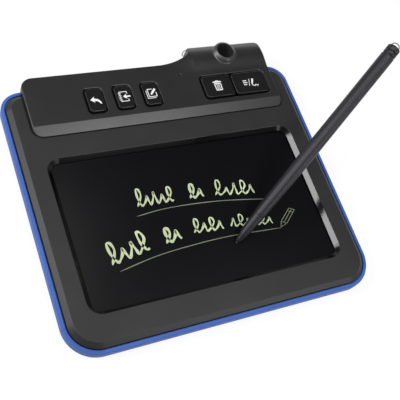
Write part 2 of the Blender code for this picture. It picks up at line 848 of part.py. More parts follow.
def build_keys():
    for name, x_low, x_high in small_keys:
        build_key(name, x_low, x_high, True, True)
    build_key(*wide_keys[0], True, False)
    build_key(*wide_keys[1], False, True)
    add_switch("reset_switch", pinhole_x, pinhole_y, reset_width)


def build_pen_holder():
    """A flared collar on the hump over a blind sleeve that takes the pen's nose."""
    top = roof(holder_x, holder_y, hump_back) + holder_proud
    base = holder_bore + holder_flare
    sleeve_low = case_floor + fit
    outline = [
        (0.0, sleeve_low + holder_bottom), (holder_bore, sleeve_low + holder_bottom),
        (holder_bore, top - fit), (holder_bore + fit, top), (holder_bore + holder_wall - fit, top),
        (holder_bore + holder_wall, top - fit)]
    for step in range(1, edge_steps + 2):
        angle = step / (edge_steps + 1) * pi / 2
        outline.append((base - (holder_flare - holder_wall) * cos(angle), top - fit - holder_flank * sin(angle)))
    under = top - holder_proud - holder_collar / 2
    outline += [(base, under), (holder_sleeve, under), (holder_sleeve, sleeve_low), (0.0, sleeve_low)]
    turned("pen_holder", outline, bar_grey, (holder_x, holder_y, 0.0))


def build_feet():
    for i, (x, y) in enumerate(feet):
        radius = foot_radius - fit
        top = foot_pocket - fit
        outline = [(0.0, top), (radius, top), (radius, -foot_height + foot_round),
                   (radius - foot_round, -foot_height), (0.0, -foot_height)]
        turned(f"foot_{i + 1}", outline, rubber, (x, y, 0.0))


def build_screws():
    for i, (x, y) in enumerate(side_screws + rear_screws):
        high = screw_seat - fit
        low = high - screw_head_height
        outline = [(0.0, high + screw_length), (screw_shank_radius / 2, high + screw_length),
                   (screw_shank_radius, high + screw_length - screw_shank_radius), (screw_shank_radius, high),
                   (screw_head_radius, high), (screw_head_radius, low + fit), (screw_head_radius - fit, low),
                   (0.0, low)]
        screw = turned(f"screw_{i + 1}", outline, steel, (x, y, 0.0), small_round_steps)
        half, reach = screw_slot_width / 2, screw_slot_length / 2
        for axis, (wide, deep) in (("x", (reach, half)), ("y", (half, reach))):
            cut(screw, add_cutter(f"slot_{axis}_{i + 1}", boxes(
                ((x - wide, y - deep, low - overrun), (x + wide, y + deep, low + screw_slot_depth)))))


# The pen is modelled upright on its tip and then leaned by the empty that carries it

def outer_radius(height):
    """The pen's radius at a height above the tip of its nose."""
    table = ((0.0, nose_mouth_radius / pen_radius),) + pen_profile_shares + ((1.0, 1.0),)
    share = min(max((height - nib_show) / (pen_swell_length - nib_show), 0.0), 1.0)
    for (low, first), (high, second) in zip(table, table[1:]):
        if share <= high:
            return pen_radius * (first + (second - first) * (share - low) / (high - low))
    return pen_radius


def profile_heights(low, high):
    """The heights between two ends at which the pen's profile turns."""
    span = pen_swell_length - nib_show
    turns = [nib_show + span * share for share, _ in pen_profile_shares] + [pen_swell_length]
    return [high] + [height for height in reversed(turns) if low < height < high] + [low]


def build_pen():
    lean = bpy.data.objects.new("pen_lean", None)
    lean.location = pen_tip
    lean.rotation_mode = "QUATERNION"
    lean.rotation_quaternion = pen_lean.to_track_quat("Z", "Y")
    parts.objects.link(lean)

    nib = turned("pen_nib", [
        (0.0, nib_length), (nib_radius, nib_length), (nib_radius, nib_radius), (nib_radius * sin(pi / 4),
        nib_radius * (1 - cos(pi / 4))), (0.0, 0.0)], nib_grey, steps=small_round_steps)

    spigot = outer_radius(nose_length) - pen_wall
    throat = nib_radius + fit
    nose_outer = [(outer_radius(height), height) for height in profile_heights(nib_show, nose_length)]
    nose = turned("pen_nose", [
        (nose_bore, nose_length + spigot_length), (spigot, nose_length + spigot_length), (spigot, nose_length),
        *nose_outer, (throat, nib_show), (throat, nose_throat), (nose_bore, nose_throat + nose_bore - throat)],
        pen_grey)

    barrel_low = nose_length + fit
    barrel_high = pen_length - tail_length
    bore = spigot + fit
    barrel_outer = [(outer_radius(height), height) for height in profile_heights(barrel_low, barrel_high)]
    barrel = turned("pen_barrel", [
        (bore, barrel_high), *barrel_outer, (bore, barrel_low)], pen_grey)

    coil_low = nose_throat + nose_bore
    coil = turned("pen_coil", [
        (throat, coil_low + coil_length), (coil_radius, coil_low + coil_length), (coil_radius, coil_low),
        (throat, coil_low)], copper, steps=small_round_steps)
    sensor_low = max(nib_length + nib_stroke, nose_length + spigot_length) + fit
    sensor = turned("pen_sensor", [
        (0.0, sensor_low + sensor_length), (sensor_radius, sensor_low + sensor_length),
        (sensor_radius, sensor_low), (0.0, sensor_low)], chip_black, steps=small_round_steps)
    core_low = sensor_low + sensor_length + fit
    core = add_part("pen_core_board", boxes(
        ((-core_width / 2, -core_thickness / 2, core_low), (core_width / 2, core_thickness / 2, core_low + core_length))),
        board_green)

    for piece in (nib, nose, barrel, coil, sensor, core, *build_pen_tail(bore, barrel_high)):
        piece.parent = lean


def build_pen_tail(bore, barrel_high):
    """A plug with a bead and a domed cap, and the wire loop that a tether would tie to."""
    low = barrel_high + fit
    full = pen_radius - tail_inset
    waist = full - tail_groove
    bead_low = low + groove_length
    cap_low = bead_low + bead_length + groove_length
    outline = [(0.0, pen_length), (full - tail_round, pen_length)]
    for step in range(1, corner_steps // 2 + 1):
        angle = step / (corner_steps // 2) * pi / 2
        outline.append((full - tail_round * (1 - sin(angle)), pen_length - tail_round * (1 - cos(angle))))
    outline += [(full, cap_low), (waist, cap_low), (waist, bead_low + bead_length),
                (full, bead_low + bead_length), (full, bead_low), (waist, bead_low), (waist, low), (bore - fit, low),
                (bore - fit, low - spigot_length), (0.0, low - spigot_length)]
    tail = turned("pen_tail", outline, pen_grey)

    half = pen_loop_span / 2
    holes = add_cutter("pen_loop_holes", rods(
        [(-half, 0.0), (half, 0.0)], pen_length - pen_loop_depth - fit, pen_length + overrun, pen_loop_wire + fit))
    holes.parent = bpy.data.objects["pen_lean"]
    cut(tail, holes)
    points = [(half, 0.0, pen_length - pen_loop_depth)]
    for step in range(arch_steps + 1):
        angle = step / arch_steps * pi
        points.append((half * cos(angle), 0.0, pen_length + pen_loop_rise * sin(angle)))
    points.append((-half, 0.0, pen_length - pen_loop_depth))
    return tail, tube_along("pen_loop", points, pen_loop_wire, steel)


build_bottom_case()
build_top_cover()
build_screen_stack()
build_rear_cover()
build_boards()
build_keys()
build_usb_socket()
build_pen_holder()
build_tether_loop()
build_feet()
build_screws()
build_pen()
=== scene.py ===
# %% [markdown]
# # A signature pad, dressed for its photograph
# A signature pad stands on a shop counter and takes a customer's signature. It has a blue
# tray below, a dark cover above it with a sunken writing window, a raised bar of keys with
# a pen holder along the back, and a pen. The solid model already has every piece at its real
# size, so this lesson makes the surfaces that the eye reads: small rounds, print, gloss, grain.

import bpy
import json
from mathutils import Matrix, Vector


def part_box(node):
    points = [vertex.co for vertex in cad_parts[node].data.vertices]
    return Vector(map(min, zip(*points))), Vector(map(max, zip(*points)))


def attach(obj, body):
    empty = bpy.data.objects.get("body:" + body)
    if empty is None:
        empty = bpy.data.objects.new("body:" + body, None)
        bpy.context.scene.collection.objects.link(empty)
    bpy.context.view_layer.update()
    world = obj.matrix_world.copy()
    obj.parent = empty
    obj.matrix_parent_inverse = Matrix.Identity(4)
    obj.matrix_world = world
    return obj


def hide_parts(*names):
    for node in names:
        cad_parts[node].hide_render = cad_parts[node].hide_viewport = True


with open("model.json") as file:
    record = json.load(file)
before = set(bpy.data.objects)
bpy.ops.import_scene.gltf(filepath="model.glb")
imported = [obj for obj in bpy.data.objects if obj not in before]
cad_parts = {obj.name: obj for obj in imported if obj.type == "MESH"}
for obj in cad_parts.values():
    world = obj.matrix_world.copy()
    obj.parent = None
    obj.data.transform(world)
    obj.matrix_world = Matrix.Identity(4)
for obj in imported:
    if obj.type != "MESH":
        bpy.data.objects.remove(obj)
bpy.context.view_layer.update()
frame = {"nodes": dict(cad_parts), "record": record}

# %% [markdown]
# ## Units and small helpers
# Everything is in metres, and one millimetre is a handy unit for a piece this small. Writing
# 1.9 * mm keeps the numbers close to what a calliper would read on the real case.

# %% Units
import json
from math import cos, pi, radians, sin, sqrt

import bmesh
import bpy
from mathutils import Matrix, Vector

mm = 0.001
hair = 0.01 * mm

# %% [markdown]
# ## Rings and skins
# Nearly every moulded piece here is a rounded rectangle that changes a little with height,
# and every turned piece is a circle that does the same. A box with a Bevel modifier could
# give the first and a Screw modifier the second. One idea serves both instead: draw a ring of
# points at each height and stretch a skin between neighbouring rings. Each small round is then
# just a few rings close together, and no fillet ever fails.

# %% A rounded rectangle as a ring of points
def corner_ring(half, front, back, front_radius, back_radius, height, turns=14):
    corners = ((half - back_radius, back - back_radius, back_radius),
               (back_radius - half, back - back_radius, back_radius),
               (front_radius - half, front + front_radius, front_radius),
               (half - front_radius, front + front_radius, front_radius))
    ring = []
    for quarter, (x, y, radius) in enumerate(corners):
        for turn in range(turns + 1):
            angle = (quarter + turn / turns) * pi / 2
            ring.append(Vector((x + radius * cos(angle), y + radius * sin(angle), height)))
    return ring


def circle_ring(radius, height, points=64, x=0.0, y=0.0):
    angles = [2 * pi * i / points for i in range(points)]
    return [Vector((x + radius * cos(a), y + radius * sin(a), height)) for a in angles]


# %% Stretch a skin over rings
def skin(name, rings, closed_loop=False, last_cap=True):
    bm = bmesh.new()
    rows = [[bm.verts.new(point) for point in ring] for ring in rings]
    pairs = list(zip(rows, rows[1:]))
    if closed_loop:
        pairs.append((rows[-1], rows[0]))
    for low, high in pairs:
        for i in range(len(low)):
            j = (i + 1) % len(low)
            bm.faces.new((low[i], low[j], high[j], high[i]))
    if not closed_loop:
        bm.faces.new(rows[0])
        if last_cap:
            bm.faces.new(rows[-1])
    bmesh.ops.recalc_face_normals(bm, faces=bm.faces)
    return piece_from(name, bm)


def piece_from(name, bm):
    mesh = bpy.data.meshes.new(name)
    bm.to_mesh(mesh)
    bm.free()
    piece = bpy.data.objects.new(name, mesh)
    bpy.context.scene.collection.objects.link(piece)
    return piece


# %% [markdown]
# ## Small rounds
# A mould never leaves a knife edge. A round is a quarter circle between two directions, so
# one helper lists its (inset, height) steps. Inset means how far the ring lies inside the
# piece's outline, and a rounded rectangle's corner radius shrinks by the same amount.

# %% Steps of a round, and rings from a profile
def round_steps(inset, height, radius, from_degrees, to_degrees, steps=5):
    """Points on a circle whose centre is at (inset, height); 180 degrees faces outward."""
    turn = (to_degrees - from_degrees) / steps
    angles = [radians(from_degrees + turn * i) for i in range(steps + 1)]
    return [(inset + radius * cos(a), height + radius * sin(a)) for a in angles]


def profile_rings(profile, half, front, back, front_radius, back_radius, turns=14):
    rings = []
    for inset, height in profile:
        rings.append(corner_ring(half - inset, front + inset, back - inset,
                                 max(front_radius - inset, hair), max(back_radius - inset, hair),
                                 height, turns))
    return rings


# %% [markdown]
# ## Carving and shading
# Holes and pockets are carved with exact Booleans, which are applied at once so that no
# cutter is left in the scene. Shading is smooth except across sharp angles, and weighted
# normals keep the large flat faces flat right up to their rounds.

# %% Carve, join and shade
def freeze(piece):
    bpy.context.view_layer.update()
    evaluated = piece.evaluated_get(bpy.context.evaluated_depsgraph_get())
    fixed = bpy.data.meshes.new_from_object(evaluated)
    piece.modifiers.clear()
    piece.data = fixed
    return piece


def carve(piece, *tools, operation="DIFFERENCE"):
    for tool in tools:
        boolean = piece.modifiers.new("carve", "BOOLEAN")
        boolean.operation = operation
        boolean.object = tool
        freeze(piece)
        bpy.data.objects.remove(tool, do_unlink=True)


def shade(piece, sharp_degrees=32):
    piece.data.shade_smooth()
    piece.data.set_sharp_from_angle(angle=radians(sharp_degrees))
    weighted = piece.modifiers.new("flat faces first", "WEIGHTED_NORMAL")
    weighted.keep_sharp = True
    return freeze(piece)


def block(low, high):
    bm = bmesh.new()
    corners = bmesh.ops.create_cube(bm, size=1)["verts"]
    low, high = Vector(low), Vector(high)
    bmesh.ops.scale(bm, vec=high - low, verts=corners)
    bmesh.ops.translate(bm, vec=(low + high) / 2, verts=corners)
    return piece_from("carving_block", bm)


def rod(x, y, low, high, radius, points=32):
    return skin("carving_rod", [circle_ring(radius, low, points, x, y),
                                circle_ring(radius, high, points, x, y)])


# %% [markdown]
# ## Moulded plastic
# All the housings are moulded from plastic with a fine spark-eroded grain. It shows as a
# satin sheen that varies a little from place to place, with a slightly polished look where
# hands rub the edges. A picture of plastic could be wrapped round the case. Noise in the
# object's own millimetres needs no wrapping and stays at the right scale everywhere.

# %% A recipe for moulded plastic
def plastic(name, colour, roughness, gloss=0.5, grain=0.16, grain_depth=0.010, drift=0.10, rub=0.25):
    """grain is the grain's size in millimetres, and rub is how far edges lose their dullness."""
    material = bpy.data.materials.new(name)
    material.use_nodes = True
    nodes, links = material.node_tree.nodes, material.node_tree.links
    shader = nodes["Principled BSDF"]
    shader.inputs["Specular IOR Level"].default_value = gloss
    place = nodes.new("ShaderNodeTexCoord")

    tint = nodes.new("ShaderNodeTexNoise")
    tint.inputs["Scale"].default_value = 0.05 / mm
    tint.inputs["Detail"].default_value = 3.0
    links.new(place.outputs["Object"], tint.inputs["Vector"])
    shift = nodes.new("ShaderNodeValToRGB")
    darker = [channel * (1 - drift) for channel in colour]
    lighter = [channel * (1 + drift) for channel in colour]
    shift.color_ramp.elements[0].position = 0.3
    shift.color_ramp.elements[0].color = (*darker, 1.0)
    shift.color_ramp.elements[1].position = 0.7
    shift.color_ramp.elements[1].color = (*lighter, 1.0)
    links.new(tint.outputs["Fac"], shift.inputs["Fac"])

    edges = nodes.new("ShaderNodeNewGeometry")
    edge_mask = nodes.new("ShaderNodeMapRange")
    edge_mask.inputs["From Min"].default_value = 0.52
    edge_mask.inputs["From Max"].default_value = 0.62
    links.new(edges.outputs["Pointiness"], edge_mask.inputs["Value"])
    worn = nodes.new("ShaderNodeMix")
    worn.data_type = "RGBA"
    rubbed = [min(channel * (1 + rub) + 0.01 * rub, 1.0) for channel in colour]
    worn.inputs["B"].default_value = (*rubbed, 1.0)
    links.new(edge_mask.outputs["Result"], worn.inputs["Factor"])
    links.new(shift.outputs["Color"], worn.inputs["A"])
    links.new(worn.outputs["Result"], shader.inputs["Base Color"])

    sheen = nodes.new("ShaderNodeMapRange")
    sheen.inputs["To Min"].default_value = roughness * 0.9
    sheen.inputs["To Max"].default_value = roughness * 1.1
    links.new(tint.outputs["Fac"], sheen.inputs["Value"])
    polish = nodes.new("ShaderNodeMath")
    polish.operation = "MULTIPLY_ADD"
    polish.inputs[1].default_value = -roughness * rub * 0.6
    links.new(edge_mask.outputs["Result"], polish.inputs[0])
    links.new(sheen.outputs["Result"], polish.inputs[2])
    links.new(polish.outputs["Value"], shader.inputs["Roughness"])

    bumps = nodes.new("ShaderNodeTexNoise")
    bumps.inputs["Scale"].default_value = 1 / (grain * mm)
    bumps.inputs["Detail"].default_value = 2.0
    links.new(place.outputs["Object"], bumps.inputs["Vector"])
    bump = nodes.new("ShaderNodeBump")
    bump.inputs["Strength"].default_value = 0.5
    bump.inputs["Distance"].default_value = grain_depth * mm
    links.new(bumps.outputs["Fac"], bump.inputs["Height"])
    links.new(bump.outputs["Normal"], shader.inputs["Normal"])
    return material


# %% The plastics of this pad
tray_blue = plastic("tray_blue", (0.051, 0.113, 0.370), 0.50, gloss=0.14, rub=0.15)
cover_grey = plastic("cover_grey", (0.0228, 0.0228, 0.0236), 0.42, gloss=0.30, rub=0.10)
bar_grey = plastic("bar_grey", (0.0140, 0.0140, 0.0145), 0.35, gloss=0.53, rub=0.15)
# The holder's grey is the bar's plastic made glossier and lighter. The extra lightness is painted
# highlight for the collar.
holder_highlight_grey = plastic("holder_highlight_grey", (0.0200, 0.0200, 0.0206), 0.45, gloss=1.00, rub=0.15)
# The next two are the window walls' finishes: smoother than the cover, and painted shade, their colour
# about a tenth of the cover's grey though they are the same moulding.
wall_painted_shade = plastic("wall_painted_shade", (0.002, 0.002, 0.0022), 0.13, gloss=0.34, grain=0.10,
                     grain_depth=0.0004, rub=0.0)
corner_painted_shade = plastic("corner_painted_shade", (0.003, 0.003, 0.0032), 0.27, gloss=0.36, grain=0.10,
                       grain_depth=0.001, rub=0.0)
key_black = plastic("key_black", (0.0052, 0.0052, 0.0055), 0.32, gloss=0.34, grain=0.10, grain_depth=0.003)
pen_grey = plastic("pen_grey", (0.0076, 0.0073, 0.0120), 0.44, gloss=0.43, grain=0.12,
                   grain_depth=0.0010, drift=0.06, rub=0.0)
nib_plastic = plastic("nib_plastic", (0.030, 0.030, 0.034), 0.55, gloss=0.20, grain=0.06,
                      grain_depth=0.002, rub=0.0)
rubber_black = plastic("rubber_black", (0.014, 0.014, 0.014), 0.85, gloss=0.25, grain=0.30,
                       grain_depth=0.03)
print("plastics:", [m.name for m in bpy.data.materials if m.name.endswith(("blue", "grey", "black"))])

# %% [markdown]
# ## Metal, print, film and circuit boards
# The remaining finishes are few: bright wire, tinned sheet, white key print, the dark film
# of the display, the pale ink that the pen leaves in it, and the green boards that only show
# when the case is open. Metals get fine scratches along one direction, because they are
# drawn or rolled.

# %% Metals
def metal(name, colour, roughness, scratch_length=6.0, scratch_width=0.05):
    material = bpy.data.materials.new(name)
    material.use_nodes = True
    nodes, links = material.node_tree.nodes, material.node_tree.links
    shader = nodes["Principled BSDF"]
    shader.inputs["Base Color"].default_value = (*colour, 1.0)
    shader.inputs["Metallic"].default_value = 1.0
    place = nodes.new("ShaderNodeTexCoord")
    stretch = nodes.new("ShaderNodeMapping")
    stretch.inputs["Scale"].default_value = (1 / (scratch_length * mm), 1 / (scratch_width * mm),
                                             1 / (scratch_width * mm))
    lines = nodes.new("ShaderNodeTexNoise")
    lines.inputs["Scale"].default_value = 1.0
    lines.inputs["Detail"].default_value = 4.0
    links.new(place.outputs["Object"], stretch.inputs["Vector"])
    links.new(stretch.outputs["Vector"], lines.inputs["Vector"])
    dull = nodes.new("ShaderNodeMapRange")
    dull.inputs["To Min"].default_value = roughness * 0.7
    dull.inputs["To Max"].default_value = roughness * 1.4
    links.new(lines.outputs["Fac"], dull.inputs["Value"])
    links.new(dull.outputs["Result"], shader.inputs["Roughness"])
    bump = nodes.new("ShaderNodeBump")
    bump.inputs["Strength"].default_value = 0.3
    bump.inputs["Distance"].default_value = 0.004 * mm
    links.new(lines.outputs["Fac"], bump.inputs["Height"])
    links.new(bump.outputs["Normal"], shader.inputs["Normal"])
    return material


bright_wire = metal("bright_wire", (0.85, 0.85, 0.86), 0.32)
tinned_sheet = metal("tinned_sheet", (0.50, 0.50, 0.51), 0.35)
copper_wire = metal("copper_wire", (0.62, 0.27, 0.12), 0.35)
dark_wire = metal("dark_wire", (0.10, 0.105, 0.10), 0.45)

# %% Print, ink, film and boards
key_print = plastic("key_print", (0.80, 0.80, 0.80), 0.50, drift=0.03, grain_depth=0.003, rub=0.0)
pen_trace = plastic("pen_trace", (0.50, 0.57, 0.36), 0.60, gloss=0.1, drift=0.12, grain=0.35, rub=0.0)
thin_trace = plastic("thin_trace", (0.20, 0.22, 0.16), 0.60, gloss=0.1, drift=0.15, grain=0.35, rub=0.0)
film_black = plastic("film_black", (0.0024, 0.0024, 0.0032), 0.24, gloss=0.26, grain=0.08,
                     grain_depth=0.0003, drift=0.05, rub=0.0)
board_green = plastic("board_green", (0.012, 0.090, 0.035), 0.40, grain=0.5, grain_depth=0.02)
chip_black = plastic("chip_black", (0.012, 0.012, 0.012), 0.60)
ribbon_amber = plastic("ribbon_amber", (0.42, 0.17, 0.03), 0.30, grain=0.4)

# %% [markdown]
# ## Handing a piece over
# Each finished piece gets its material, rides on the body that carries it and, where there is one,
# stands for the solid it improves on. One helper does it all, so that no piece is forgotten.

# %% Hand a piece over
def hand_over(piece, material, body, slot, *nodes):
    piece.data.materials.clear()
    piece.data.materials.append(material)
    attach(piece, body)
    if nodes:
        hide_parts(*nodes)
    print(f"{piece.name}: rides on {body}, stands for {', '.join(nodes) or 'no solid'}")


# %% [markdown]
# ## The sizes that the pieces share
# These are the same sizes as in the solid model. The tray's outline is read from its solid,
# and the others are worked out inwards from it, the way the real case nests.

# %% Shared sizes
tray_low, tray_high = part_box("bottom_case")
tray_half = tray_high.x
tray_front = tray_low.y
tray_back = -tray_front
tray_top = tray_high.z
tray_wall = 1.9 * mm
floor_top = 1.5 * mm
gap = 0.3 * mm
past = 4 * mm

groove = 0.8 * mm
cover_inset = tray_wall + groove
cover_half = tray_half - cover_inset
cover_front = tray_front + cover_inset
cover_back = tray_back - cover_inset
cover_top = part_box("top_cover")[1].z
slope_run = 2.8 * mm
front_radius = 18 * mm
back_radius = 12 * mm
print("cover top at", round(cover_top / mm, 2), "mm")

# %% Places of the bar
bar_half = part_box("rear_cover")[1].x
hump_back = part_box("rear_cover")[1].y
bar_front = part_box("rear_cover")[0].y
bar_back = tray_back + 5.4 * mm
bar_top = cover_top + 2.5 * mm
bar_slope = 5.55 * mm
key_row = bar_front + bar_slope + 11.65 * mm
key_depth = 16.4 * mm
print("bar from", round(bar_front / mm, 2), "to", round(bar_back / mm, 2), "mm")

# %% [markdown]
# ## The blue tray
# The tray is a shallow moulded box whose rim shows all round the pad as a blue line. The rim
# could be swept round a path, but a skin over rings makes the whole tray at once: from the
# underside, out round the foot, up the wall, over the lip and down to the floor inside. A
# narrow ledge inside the lip closes the groove, so that it looks deep blue and not black.

# %% Tray skin
foot_round = 0.4 * mm
lip_round = 0.55 * mm
inner_round = 0.25 * mm
ledge_top = 4.2 * mm
ledge_reach = 0.6 * mm
lip = round_steps(lip_round, tray_top - lip_round, lip_round, 180, 90)
inner_lip = round_steps(tray_wall - inner_round, tray_top - inner_round, inner_round, 90, 0, 3)
tray_profile = round_steps(foot_round, foot_round, foot_round, 270, 180) + lip + inner_lip
tray_profile += [(tray_wall, ledge_top),
                 (tray_wall + ledge_reach, ledge_top),
                 (tray_wall + ledge_reach, floor_top)]
tray = skin("blue_tray", profile_rings(tray_profile, tray_half, tray_front, tray_back,
                                       front_radius, back_radius, turns=20))
print("tray rings:", len(tray_profile))

# %% [markdown]
# The back of the tray is cut away where the key bar's housing takes over, and a flat tongue
# of the tray closes that housing from below. The tongue follows the housing's own outline,
# which is plain on the left and sweeps out to the hump on the right, so that outline comes
# first as a function.

# %% The housing's outline
hump_reach = hump_back - bar_back
hump_sweep = 23.1 * mm
hump_left = bar_half - 49.1 * mm
hump_corner = 1.6 * mm
sweep_start = hump_left - hump_sweep
left_corner = 7 * mm
right_corner = 5 * mm
front_left_corner = 5.5 * mm
front_right_corner = 3.8 * mm


def drawn_in(distance, radius):
    """How far a rounded corner draws an outline in at this distance from its end."""
    if distance >= radius:
        return 0.0
    return radius - sqrt(max(radius ** 2 - (radius - distance) ** 2, 0.0))


def sweep_share(x):
    return min(max((x - sweep_start) / hump_sweep, 0.0), 1.0)


def back_line(x):
    """The plain back edge, then the hollow sweep, then the hump's small rounded corner."""
    if x > hump_left:
        return hump_back - drawn_in(x - hump_left, hump_corner)
    return bar_back + (hump_reach - hump_corner) * (1 - sqrt(1 - sweep_share(x) ** 2))


def wall_lines(x, inset):
    """Distance to the nearer end, how far the front corner draws in, and the back wall's Y."""
    from_left = x + bar_half - inset
    from_right = bar_half - inset - x
    end = max(min(from_left, from_right), 0.0)
    on_left = from_left < from_right
    nose = drawn_in(end, front_left_corner if on_left else front_right_corner)
    corner = left_corner if on_left else right_corner
    return end, nose, back_line(x - inset) - inset - drawn_in(end, corner)


def between(low, high, count):
    """Evenly spaced places between two ends, without the ends."""
    return [low + (high - low) * i / count for i in range(1, count)]


def columns(inset, turns=12, sweeps=22, straights=8):
    """The X of each slice, closest together round the corners and up the sweep."""
    turn = [i / turns * pi / 2 for i in range(turns + 1)]
    low, high = inset - bar_half, bar_half - inset
    first = [low + left_corner * (1 - cos(a)) for a in turn]
    sweep = [sweep_start + inset + hump_sweep * sin(i / sweeps * pi / 2) for i in range(sweeps + 1)]
    corner = [hump_left + inset + hump_corner * (1 - cos(a)) for a in turn[1:]]
    last = [high - right_corner * (1 - cos(a)) for a in reversed(turn)]
    return (first + between(first[-1], sweep[0], straights) + sweep + corner
            + between(corner[-1], last[0], straights // 2) + last)


print("sweep from", round(sweep_start / mm, 1), "to", round((sweep_start + hump_sweep) / mm, 1), "mm")

# %% Notch, tongue and the pockets underneath
notch = bar_half - 2.7 * mm
notch_front = tray_back - tray_wall - past
tongue_inset = 2.1 * mm
screw_recess = 1.9 * mm
screw_recess_radius = 2.4 * mm
foot_recess = 0.6 * mm
foot_recess_radius = 5 * mm
carve(tray, block((-notch, notch_front, floor_top), (notch, tray_back + past, tray_top + past)))
tongue_rings = []
for x in columns(tongue_inset):
    wall = wall_lines(x, tongue_inset)[2]
    tongue_rings.append([Vector((x, notch_front, 0)), Vector((x, notch_front, floor_top)),
                         Vector((x, wall, floor_top)), Vector((x, wall, 0))])
carve(tray, skin("tongue", tongue_rings), operation="UNION")

screw_places = [(sign * (tray_half - 10 * mm), y) for sign in (-1, 1)
                for y in (tray_front + 12 * mm, tray_front + 62 * mm, tray_back - 35.5 * mm)]
screw_places += [(x, tray_back - 1 * mm)
                 for x in (7.2 * mm - bar_half, bar_half - 69.2 * mm, bar_half - 7.2 * mm)]
foot_places = [(sign * (tray_half - 20 * mm), y) for sign in (-1, 1)
               for y in (tray_front + 12 * mm, tray_back - 12.5 * mm)]
for x, y in screw_places:
    carve(tray, rod(x, y, -past, screw_recess, screw_recess_radius))
for x, y in foot_places:
    carve(tray, rod(x, y, -past, foot_recess, foot_recess_radius, 48))
shade(tray)
hand_over(tray, tray_blue, "pad", "case_blue", "bottom_case")

# %% [markdown]
# ## The dark cover
# The cover drops into the tray and leaves a thin dark groove. Its edge slopes at about forty
# degrees, which is the strip that catches the light along the left side in the photograph.
# Its window has sloping walls too, a little longer at the sides than at the front and back.
# The skin runs up the outside, across the top, down into the window and back underneath, as one
# closed loop.

# %% Cover skin
edge_round = 0.45 * mm
slope_angle = 39.4
skirt_foot = floor_top + gap
skirt_top = tray_top - 0.3 * mm
edge_middle = tray_top - 0.05 * mm
crown_round = 0.6 * mm
crown_inset = slope_run + 0.16 * mm
outer = [(0.0, skirt_foot), (0.0, skirt_top)]
outer += round_steps(edge_round, edge_middle, edge_round, 180, 180 - (90 - slope_angle), 4)
crown = round_steps(crown_inset, cover_top - crown_round, crown_round, 90 + slope_angle, 90, 5)
cover_rings = profile_rings(outer + crown, cover_half, cover_front, cover_back,
                            front_radius - cover_inset, back_radius - cover_inset, turns=20)

window_half = cover_half - slope_run - 9.35 * mm
window_front = cover_front + slope_run + 13 * mm
window_back = bar_front - 13.45 * mm
side_wall_run = 2.5 * mm
end_wall_run = 2.1 * mm
film_half = window_half - side_wall_run
film_front = window_front + end_wall_run
film_back = window_back - end_wall_run
film_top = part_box("lcd_panel")[1].z
window_radius = 7.8 * mm
window_aside = 0.4 * mm
film_radius = 5.2 * mm
print("film", round(2 * film_half / mm, 1), "by", round((film_back - film_front) / mm, 1), "mm")


# %% Rings down the window's walls
def window_ring(share, height):
    """A ring down the window's wall: share 0 is at the cover's top and 1 is at the wall's foot.

    Only the window's left edge is moved out, by window_aside at the top and not at all below.
    """
    def mix(top, bottom):
        return top + (bottom - top) * share
    radius = mix(window_radius, film_radius)
    ring = corner_ring(mix(window_half, film_half), mix(window_front, film_front),
                       mix(window_back, film_back), radius, radius, height, 20)
    aside = Vector((mix(-window_aside, 0.0), 0, 0))
    return [point + aside if point.x < 0 else point for point in ring]


foot_step = 1.0 * mm
wall_foot = film_top + foot_step
wall_height = cover_top - wall_foot
outer_share = 0.08
inner_share = 0.06
edge_steps = 5
foot_share = 0.97
foot_rise = 0.03
foot_drop = 0.05 * mm
for i in range(edge_steps + 1):
    u = i / edge_steps
    share = inner_share * u ** 2 - outer_share * (1 - u) ** 2
    cover_rings.append(window_ring(share, cover_top - wall_height * inner_share * u ** 2))
cover_rings += [window_ring(foot_share, wall_foot + foot_rise * wall_height),
                window_ring(1.0, wall_foot - foot_drop),
                window_ring(1.0, film_top + gap)]
under = 1.3 * mm
ceiling = cover_top - 1.6 * mm
cover_wall = 1.5 * mm
cover_rings += [corner_ring(window_half + under, window_front - under, window_back + under,
                            window_radius + under, window_radius + under, height, 20)
                for height in (film_top + gap, ceiling)]
inside = [(4 * mm, ceiling), (cover_wall, tray_top - 0.8 * mm), (cover_wall, skirt_foot)]
cover_rings += profile_rings(inside, cover_half, cover_front, cover_back,
                             front_radius - cover_inset, back_radius - cover_inset, turns=20)
cover = skin("dark_cover", cover_rings, closed_loop=True)

# %% [markdown]
# A dark line runs along the foot of the key bar in the photograph. It is a narrow channel in
# the cover that hides the joint between the two mouldings, and it follows the bar's rounded
# front corners. A closed band of four rings is the cutter for it.

# %% The channel at the bar's foot, and the opening under the bar
seat = 3.6 * mm
channel_width = 0.75 * mm
channel_depth = 0.9 * mm


def bar_ring(grow, height, turns=10):
    """The bar's own outline, grown by a distance, at a height."""
    corners = ((bar_half, cover_back, 1, 1, past),
               (-bar_half, cover_back, -1, 1, past),
               (-bar_half, bar_front, -1, -1, front_left_corner),
               (bar_half, bar_front, 1, -1, front_right_corner))
    ring = []
    for quarter, (x, y, side, end, radius) in enumerate(corners):
        centre = Vector((x - side * radius, y - end * radius, height))
        for turn in range(turns + 1):
            angle = (quarter + turn / turns) * pi / 2
            ring.append(centre + Vector((cos(angle), sin(angle), 0)) * (radius + grow))
    return ring


channel_floor = cover_top - channel_depth
channel_inside = -1.2 * mm
channel_rings = [bar_ring(channel_width, channel_floor), bar_ring(channel_width, cover_top + past),
                 bar_ring(channel_inside, cover_top + past), bar_ring(channel_inside, channel_floor)]
carve(cover, skin("channel", channel_rings, closed_loop=True))
carve(cover, block((-notch, bar_front + seat, -past), (notch, tray_back + past, cover_top + past)))
shade(cover)
hand_over(cover, cover_grey, "pad", "cover_grey", "top_cover")
